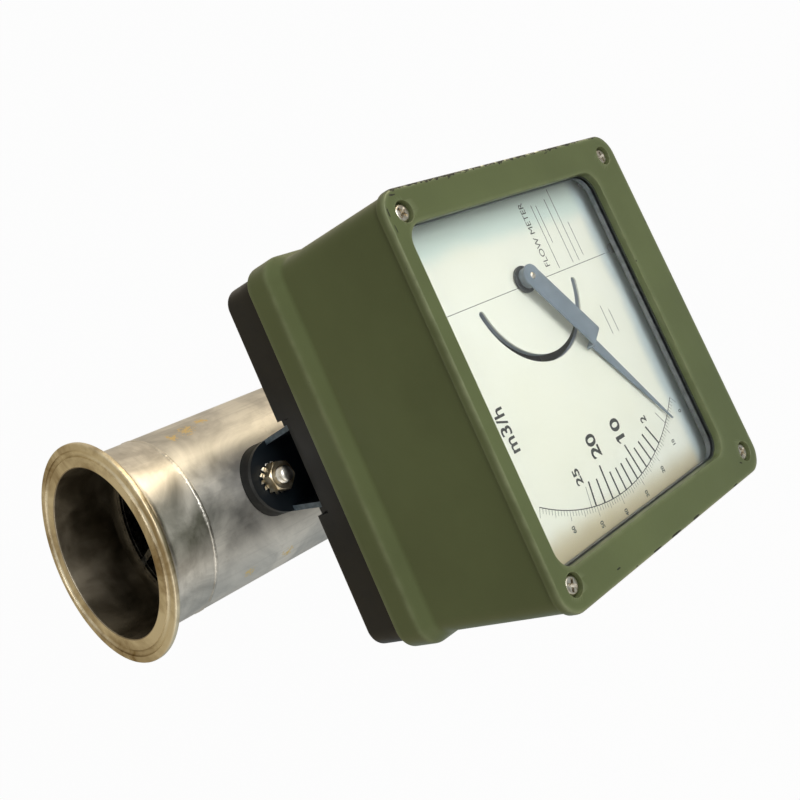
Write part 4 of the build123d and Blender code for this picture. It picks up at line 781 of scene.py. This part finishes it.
# one bent sheet: a path of (distance along, y, half width) with rounded bends, and at each point a section of the
# sheet's thickness set across the path's direction; the head is a half circle, w = sqrt(r^2 - u^2)
def pointerSheet():
    s = pointerSize
    armY = dialFace - s["rise"] - s["sheet"] / 2
    tipY = dialFace - s["drop"] - s["sheet"] / 2
    turn = np.radians(np.linspace(180, 92, 16))
    head = np.stack([s["head"] * np.cos(turn), np.full(16, armY), s["head"] * np.sin(turn)], 1)
    head[0, 2] = 0.05
    arm, wide = s["arm"], s["armWide"]
    bent, _ = roundedRows([(2.0, armY, wide), (arm - 0.4, armY, wide), (arm - 0.2, tipY, wide), (arm + 0.6, tipY, wide),
                           (s["shoulder"], tipY, s["tipWide"]), (s["length"], tipY, s["tipEnd"])],
                          [0, 0.8, 0.8, 0.1, 0.5, 0], steps=6, spacing=4.0)
    path = np.concatenate([head, bent])
    slope = np.gradient(path[:, :2], axis=0)
    slope /= np.maximum(np.linalg.norm(slope, axis=1), 1e-9)[:, None]
    slope[:16] = (1, 0)
    normal = np.stack([-slope[:, 1], slope[:, 0]], 1) * s["sheet"] / 2
    ring = [(-1, 0.82), (-0.7, 1), (0.7, 1), (1, 0.82), (1, -0.82), (0.7, -1), (-0.7, -1), (-1, -0.82)]
    edge = np.minimum(path[:, 2], 0.25)
    grid = np.empty((len(path), 8, 3))
    a = math.radians(s["rest"])
    for k, (w, t) in enumerate(ring):
        across = np.sign(w) * (path[:, 2] - (edge if abs(w) < 1 else 0))
        u = path[:, 0] + normal[:, 0] * t
        grid[:, k, 0] = pivot[0] + u * math.cos(a) - across * math.sin(a)
        grid[:, k, 1] = path[:, 1] + normal[:, 1] * t
        grid[:, k, 2] = pivot[1] + u * math.sin(a) + across * math.cos(a)
    caps = [np.repeat(grid[k:k + 1].mean(1, keepdims=True), 8, 1) for k in (0, -1)]
    parts = [(np.concatenate([caps[0], grid, caps[1]]), False, True)]
    made = gridPiece("pointerSheet", parts, lacquer, body="pointer", sharp=40)
    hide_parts("pointer")


# the hub: a broad collar close to the dial, a groove, and a plain cylinder up to the arm
def pointerHub():
    s = pointerSize
    r, tall = s["collar"]
    back, top = dialFace - 0.4, dialFace - s["rise"]
    hole, neck = s["shaft"] + 0.05, s["hub"] - 0.3
    collar = [(hole, back), (r, back), (r, back - tall), (neck, back - tall), (neck, back - tall - 0.3)]
    cylinder = [(neck, back - tall - 0.3), (s["hub"], back - tall - 0.5), (s["hub"], top), (hole, top)]
    lower, _ = roundedRows(collar, [0, 0.35, 0.35, 0, 0], steps=4, spacing=3)
    upper, _ = roundedRows(cylinder, [0, 0.1, 0.3, 0], steps=4, spacing=3)
    profile = np.concatenate([lower, upper[1:]])
    ring = np.repeat((profile[:, 1] > back - tall - 0.2)[:, None], 72, 1).astype(float)
    parts = [(facingGrid(profile, *pivot, 72), True, True)]
    made = gridPiece("pointerHub", parts, hubLacquer, body="pointer", values=[ring])
    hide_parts("pointer_hub")


pointerSheet()
pointerHub()
print("pointer made")

scaleSize = {
    "arc": 99.1, "zero": 220.0, "perUnit": 1.0143, "units": 70, "percentRadius": 106.8, "arcSteps": 220,
    "strokeLift": 0.04, "arcLift": 0.045, "figureLift": 0.05,
    # flow value: angle of its stroke
    "flow": {2: 204.0, 4: 200.65, 6: 197.35, 8: 194.15, 10: 191.15, 12: 188.5, 14: 185.4, 16: 182.4, 18: 179.3,
             20: 176.15, 22: 172.7, 25: 169.1},
    # value: radius, angle, height and width of its figures
    "figures": {2: (86.2, 205.4, 4.4, 0.66), 10: (76.8, 192.0, 6.8, 1.4), 20: (76.1, 177.0, 6.8, 1.55),
                25: (86.2, 165.2, 4.5, 1.55)},
    "percent": {0: 218.5, 10: 208.5, 20: 198.8, 30: 188.8, 40: 178.9, 50: 169.2, 60: 159.3},
    # entry rules on the plates and the seam between them: middle x, height over the housing's middle, size in x and z
    "rules": [(50.5, -21.5, 31.0, 0.4), (56.0, -25.0, 18.5, 0.4), (51.0, -33.0, 32.0, 0.4), (53.0, -38.0, 36.0, 0.4),
              (45.0, -42.8, 17.0, 0.4), (5.0, -37.5, 14.0, 0.4), (3.5, -42.5, 11.0, 0.4), (33.4, 4.25, 0.3, 127.3)],
}


# a flat print on the dial, from points in mm and faces; without faces, each four points are a quad
def flatPrint(name, points, material, faces=None):
    mesh = bpy.data.meshes.new(name)
    mesh.from_pydata(np.array(points) * mm, [], faces or np.arange(len(points)).reshape(-1, 4).tolist())
    newPiece(name, mesh, material)


# a place on the dial from a radius and an angle about the pivot
def onDial(radius, angle):
    a = math.radians(angle)
    return pivot[0] + radius * math.cos(a), pivot[1] + radius * math.sin(a)


# radial strokes: corners at r0 and r1 along the angle, half a width to each side
def strokes(name, rows, material):
    rows = np.array(rows, float)
    a, w = np.radians(rows[:, 2]), rows[:, 3] / 2
    along = np.stack([np.cos(a), np.sin(a)], 1)
    across = np.stack([-np.sin(a), np.cos(a)], 1) * w[:, None]
    inner, outer = along * rows[:, :1], along * rows[:, 1:2]
    flat = np.stack([inner - across, inner + across, outer + across, outer - across], 1).reshape(-1, 2)
    y = np.full(len(flat), dialFace - scaleSize["strokeLift"])
    flatPrint(name, np.stack([pivot[0] + flat[:, 0], y, pivot[1] + flat[:, 1]], 1), material)


# an arc about the pivot as one band: x = r cos a, z = r sin a at the band's two radii
def arcBand(name, radius, width, start, end, material):
    s = scaleSize
    a = np.radians(np.linspace(start, end, s["arcSteps"]))
    r = np.array([radius - width / 2, radius + width / 2])[:, None]
    y = np.full((2, s["arcSteps"]), dialFace - s["arcLift"])
    points = np.stack([pivot[0] + r * np.cos(a), y, pivot[1] + r * np.sin(a)], -1).reshape(-1, 3)
    flatPrint(name, points, material, gridFaces(2, s["arcSteps"], False, False)[:, ::-1].tolist())


# upright figures, scaled to an exact height and, where given, width, their middle at (x, z)
def figures(name, text, x, z, height, material, width=None, bold=0.0):
    curve = bpy.data.curves.new(name, "FONT")
    curve.body, curve.size, curve.offset = text, 1.0, bold
    holder = bpy.data.objects.new(name, curve)
    bpy.context.scene.collection.objects.link(holder)
    bpy.context.view_layer.update()
    mesh = bpy.data.meshes.new_from_object(holder.evaluated_get(bpy.context.evaluated_depsgraph_get()))
    bpy.data.objects.remove(holder)
    points = np.empty(len(mesh.vertices) * 3)
    mesh.vertices.foreach_get("co", points)
    flat = points.reshape(-1, 3)[:, :2]
    low, high = flat.min(0), flat.max(0)
    grow = height / (high[1] - low[1])
    wide = width / (high[0] - low[0]) if width else grow
    flat = (flat - (low + high) / 2) * (wide, grow)
    y = np.full(len(flat), dialFace - scaleSize["figureLift"])
    mesh.vertices.foreach_set("co", (np.stack([x + flat[:, 0], y, z + flat[:, 1]], 1) * mm).reshape(-1))
    newPiece(name, mesh, material)


def dialPrint():
    s = scaleSize
    r = s["arc"]
    rows = [(84.4 if value in (10, 20) else 88.8, r, angle, 1.0) for value, angle in s["flow"].items()]
    strokes("flowStrokes", rows, ink)
    rows = [(r, r + (4.3 if unit % 10 == 0 else 3.2 if unit % 5 == 0 else 2.3), s["zero"] - s["perUnit"] * unit, 0.24)
            for unit in range(s["units"] + 1)]
    strokes("fineStrokes", rows + [(91.6, r, 211.35, 0.35), (90.6, r, 167.3, 0.3)], paleInk)
    arcBand("scaleArc", r, 0.4, s["zero"], s["zero"] - s["perUnit"] * s["units"], ink)
    for value, (radius, angle, height, wide) in s["figures"].items():
        figures(f"flowFigure{value}", str(value), *onDial(radius, angle), height, ink, height * wide, 0.027)
    for value, angle in s["percent"].items():
        figures(f"percentFigure{value}", str(value), *onDial(s["percentRadius"], angle), 2.3, paleInk, bold=0.03)
    # the font's 1 is a bare stem, so the large one gets a flag
    radius, angle, height, wide = s["figures"][10]
    x, z = onDial(radius, angle)
    corners = [(0.02, 0.0), (0.02, -0.2), (-0.24, -0.34), (-0.24, -0.2)]
    points = [(x + (a - wide / 2) * height, dialFace - s["figureLift"], z + (b + 0.5) * height) for a, b in corners]
    flatPrint("flagOfTheOne", points, ink, [(0, 3, 2, 1)])
    figures("unitSign", "m3/h", -16.9, housingMiddle + 57.2, 6.6, ink, 19.0, 0.016)
    figures("heading", "FLOW METER", 53.0, housingMiddle - 14.2, 3.5, ink, 31.0)
    points = [(x + a * wide / 2, dialFace - s["strokeLift"], housingMiddle + z + b * tall / 2)
              for x, z, wide, tall in s["rules"] for a, b in ((-1, -1), (1, -1), (1, 1), (-1, 1))]
    flatPrint("entryRules", points, paleInk)


dialPrint()
print("dial printed")

finish = {
    "base_gasket": rubber, "window_gasket": sealRubberPaintedLight, "window_glass": glass, "window_frame": frameSteel,
    "frame_screws": screwSteel, "dial_posts": aluminium, "dial_carrier": carrierLacquerPaintedLight, "scale_plate": cream,
    "name_plate": cream, "dial_screws": frameSteel, "movement_frame": aluminium, "movement_posts": aluminium,
    "rear_bearing": brass, "front_bearing": brass, "pivot_shaft": screwSteel,
    "follower_arm": aluminium, "follower_magnet": magnetAlloy, "counterweight": brass,
    "metering_cone": innerSteel, "lower_guide": innerSteel, "upper_guide": innerSteel, "lower_snap_ring": innerSteel,
    "upper_snap_ring": innerSteel, "guide_rod": innerSteel, "rod_nuts": innerSteel, "lower_stop_sleeve": innerSteel,
    "upper_stop_sleeve": innerSteel, "float_body": innerSteel, "float_magnet": magnetAlloy, "float_cover": innerSteel,
    "lower_float_bush": rubber, "upper_float_bush": rubber, "upper_saddle_pad": rubber, "lower_saddle_pad": rubber,
    "mounting_channel": bracketBlack, "channel_screws": zincSteel,
}
for name, material in finish.items():
    for slot in node[name].material_slots:
        slot.link = "OBJECT"
        slot.material = material
print("nodes finished:", len(finish))


# pale table: white to the camera and through glass. Gloss sees soft panels stood round the object on it, set out by the
# angle about the tube's axis, atan2(y, x) / 2 pi + 0.5: a bright one to the right and in front, beige behind it, cool
# grey on the left. The light that bounces off the table is a plain pale grey
def paperFloor():
    made, tree, shader, place = newMaterial("paleFloor", Base_Color=hexColour("#e4e4e2"), Roughness=0.9)
    paths = addNode(tree, "LightPath", out=None)
    around = addNode(tree, "TexGradient", out="Fac", settings={"gradient_type": "RADIAL"}, Vector=place)
    tent = addNode(tree, "ValToRGB", Fac=around, stops=[
        (0.0, "#bfc4c5"), (1.0, "#bfc4c5"), (0.11, "#d8d2c6"), (0.2, "#a9b0b0"), (0.34, "#b0aca4"), (0.37, "#ffefd0"),
        (0.43, "#ffefd0"), (0.46, "#b7ab9a"), (0.57, "#e2d4bd"), (0.75, "#cdc8bf"), (0.89, "#a5abac")])
    power = addNode(tree, "ValToRGB", Fac=around, stops=[(0.34, 1.0), (0.46, 1.0), (0.38, 5.5), (0.41, 5.5)])
    toGloss = paths.outputs["Is Glossy Ray"]
    bright = addNode(tree, "Mix", settings={"data_type": "FLOAT"}, i0=toGloss, i2=1.0, i3=power)
    colour = addNode(tree, "Mix", out=2, settings=blend, i0=toGloss, i6=(1, 1, 1, 1), i7=tent)
    glow = addNode(tree, "Emission", Color=colour, Strength=bright)
    seen = toGloss
    for kind in ("Is Camera Ray", "Is Transmission Ray"):
        seen = addNode(tree, "Math", settings=largest, i0=seen, i1=paths.outputs[kind])
    seen = addNode(tree, "Math", settings=multiply, i0=seen, i1=0.97)
    feed(tree.get_output_node("ALL"), Surface=addNode(tree, "MixShader", i0=seen, i1=shader.outputs[0], i2=glow))
    mesh = bpy.data.meshes.new("floor")
    mesh.from_pydata([(-4, -4, 0), (4, -4, 0), (4, 4, 0), (-4, 4, 0)], [], [(0, 1, 2, 3)])
    mesh.materials.append(made)
    floor = bpy.data.objects.new("floor", mesh)
    bpy.context.scene.collection.objects.link(floor)


paperFloor()

# the world: white to the camera and through glass, a dim warm white as light. Gloss sees pale grey in front of the
# object and a beige wall behind it
world = bpy.data.worlds.new("studio")
bpy.context.scene.world = world
world.use_nodes = True
sky = world.node_tree
sky.nodes.clear()
skyPaths = addNode(sky, "LightPath", out=None)
skySeen = skyPaths.outputs["Is Camera Ray"]
for kind in ("Is Glossy Ray", "Is Transmission Ray"):
    skySeen = addNode(sky, "Math", settings=largest, i0=skySeen, i1=skyPaths.outputs[kind])
skyY = addNode(sky, "SeparateXYZ", out="Y", Vector=addNode(sky, "TexCoord", out="Generated"))
wall = addNode(sky, "MapRange", i0=skyY, i1=-0.5, i2=0.7, i3=0.0, i4=1.0)
wall = addNode(sky, "ValToRGB", Fac=wall, stops=[(0.0, "#e2e2de"), (1.0, "#b8aa8c"), (0.45, "#d8d2c4")])
skyTint = addNode(sky, "Mix", out=2, settings=blend, i0=skyPaths.outputs["Is Glossy Ray"], i6=(1, 1, 1, 1), i7=wall)
ambient = addNode(sky, "Background", Color=hexColour("#f6f4ee"), Strength=0.26)
backdrop = addNode(sky, "Background", Color=skyTint, Strength=1.0)
bothSkies = addNode(sky, "MixShader", i0=skySeen, i1=ambient, i2=backdrop)
feed(addNode(sky, "OutputWorld", out=None), Surface=bothSkies)


# an area lamp at a place, its back axis pointing from the target to the lamp
def softbox(name, place, target, size, power, colour="#ffffff"):
    data = bpy.data.lights.new(name, "AREA")
    data.shape, data.size, data.size_y = "RECTANGLE", size[0] * mm, size[1] * mm
    data.energy, data.color = power, hexColour(colour)[:3]
    made = bpy.data.objects.new(name, data)
    bpy.context.scene.collection.objects.link(made)
    position = np.array(place, float) * mm
    back = position - np.array(target, float) * mm
    back /= np.linalg.norm(back)
    side = np.cross((0, 0, 1), back)
    side /= np.linalg.norm(side)
    turn = np.eye(4)
    turn[:3, 0], turn[:3, 1], turn[:3, 2], turn[:3, 3] = side, np.cross(back, side), back, position
    made.matrix_world = Matrix(turn.tolist())


softbox("keyFront", (500, -1450, 520), (0, -100, 150), (900, 700), 10.5)
softbox("fillLeft", (-1200, -700, 700), (0, -60, 150), (900, 900), 3.2, "#fff8ee")

# the photograph's camera: its right, down and forward axes, its place, focal length and off-centre crop in pixels
view = {
    "right": (-0.40246, -0.58540, -0.70380), "down": (-0.91046, 0.33605, 0.24112),
    "forward": (0.09536, 0.73782, -0.66823), "place": (20.261, -445.912, 521.146), "focal": 1037.06,
    "offset": (-84.21, -97.10), "picture": 800,
}
camera = bpy.data.cameras.new("photoCamera")
holder = bpy.data.objects.new("photoCamera", camera)
bpy.context.scene.collection.objects.link(holder)
turn = np.eye(4)
turn[:3, 0], turn[:3, 1], turn[:3, 2] = np.array(view["right"]), -np.array(view["down"]), -np.array(view["forward"])
turn[:3, 3] = np.array(view["place"]) * mm
holder.matrix_world = Matrix(turn.tolist())
camera.sensor_width = 36.0
camera.lens = 36.0 * view["focal"] / view["picture"]
camera.shift_x, camera.shift_y = -view["offset"][0] / view["picture"], view["offset"][1] / view["picture"]
camera.clip_start, camera.clip_end = 0.01, 50.0
bpy.context.scene.camera = holder
bpy.context.scene.view_settings.view_transform = "Standard"
print("stage, lamps and camera set")
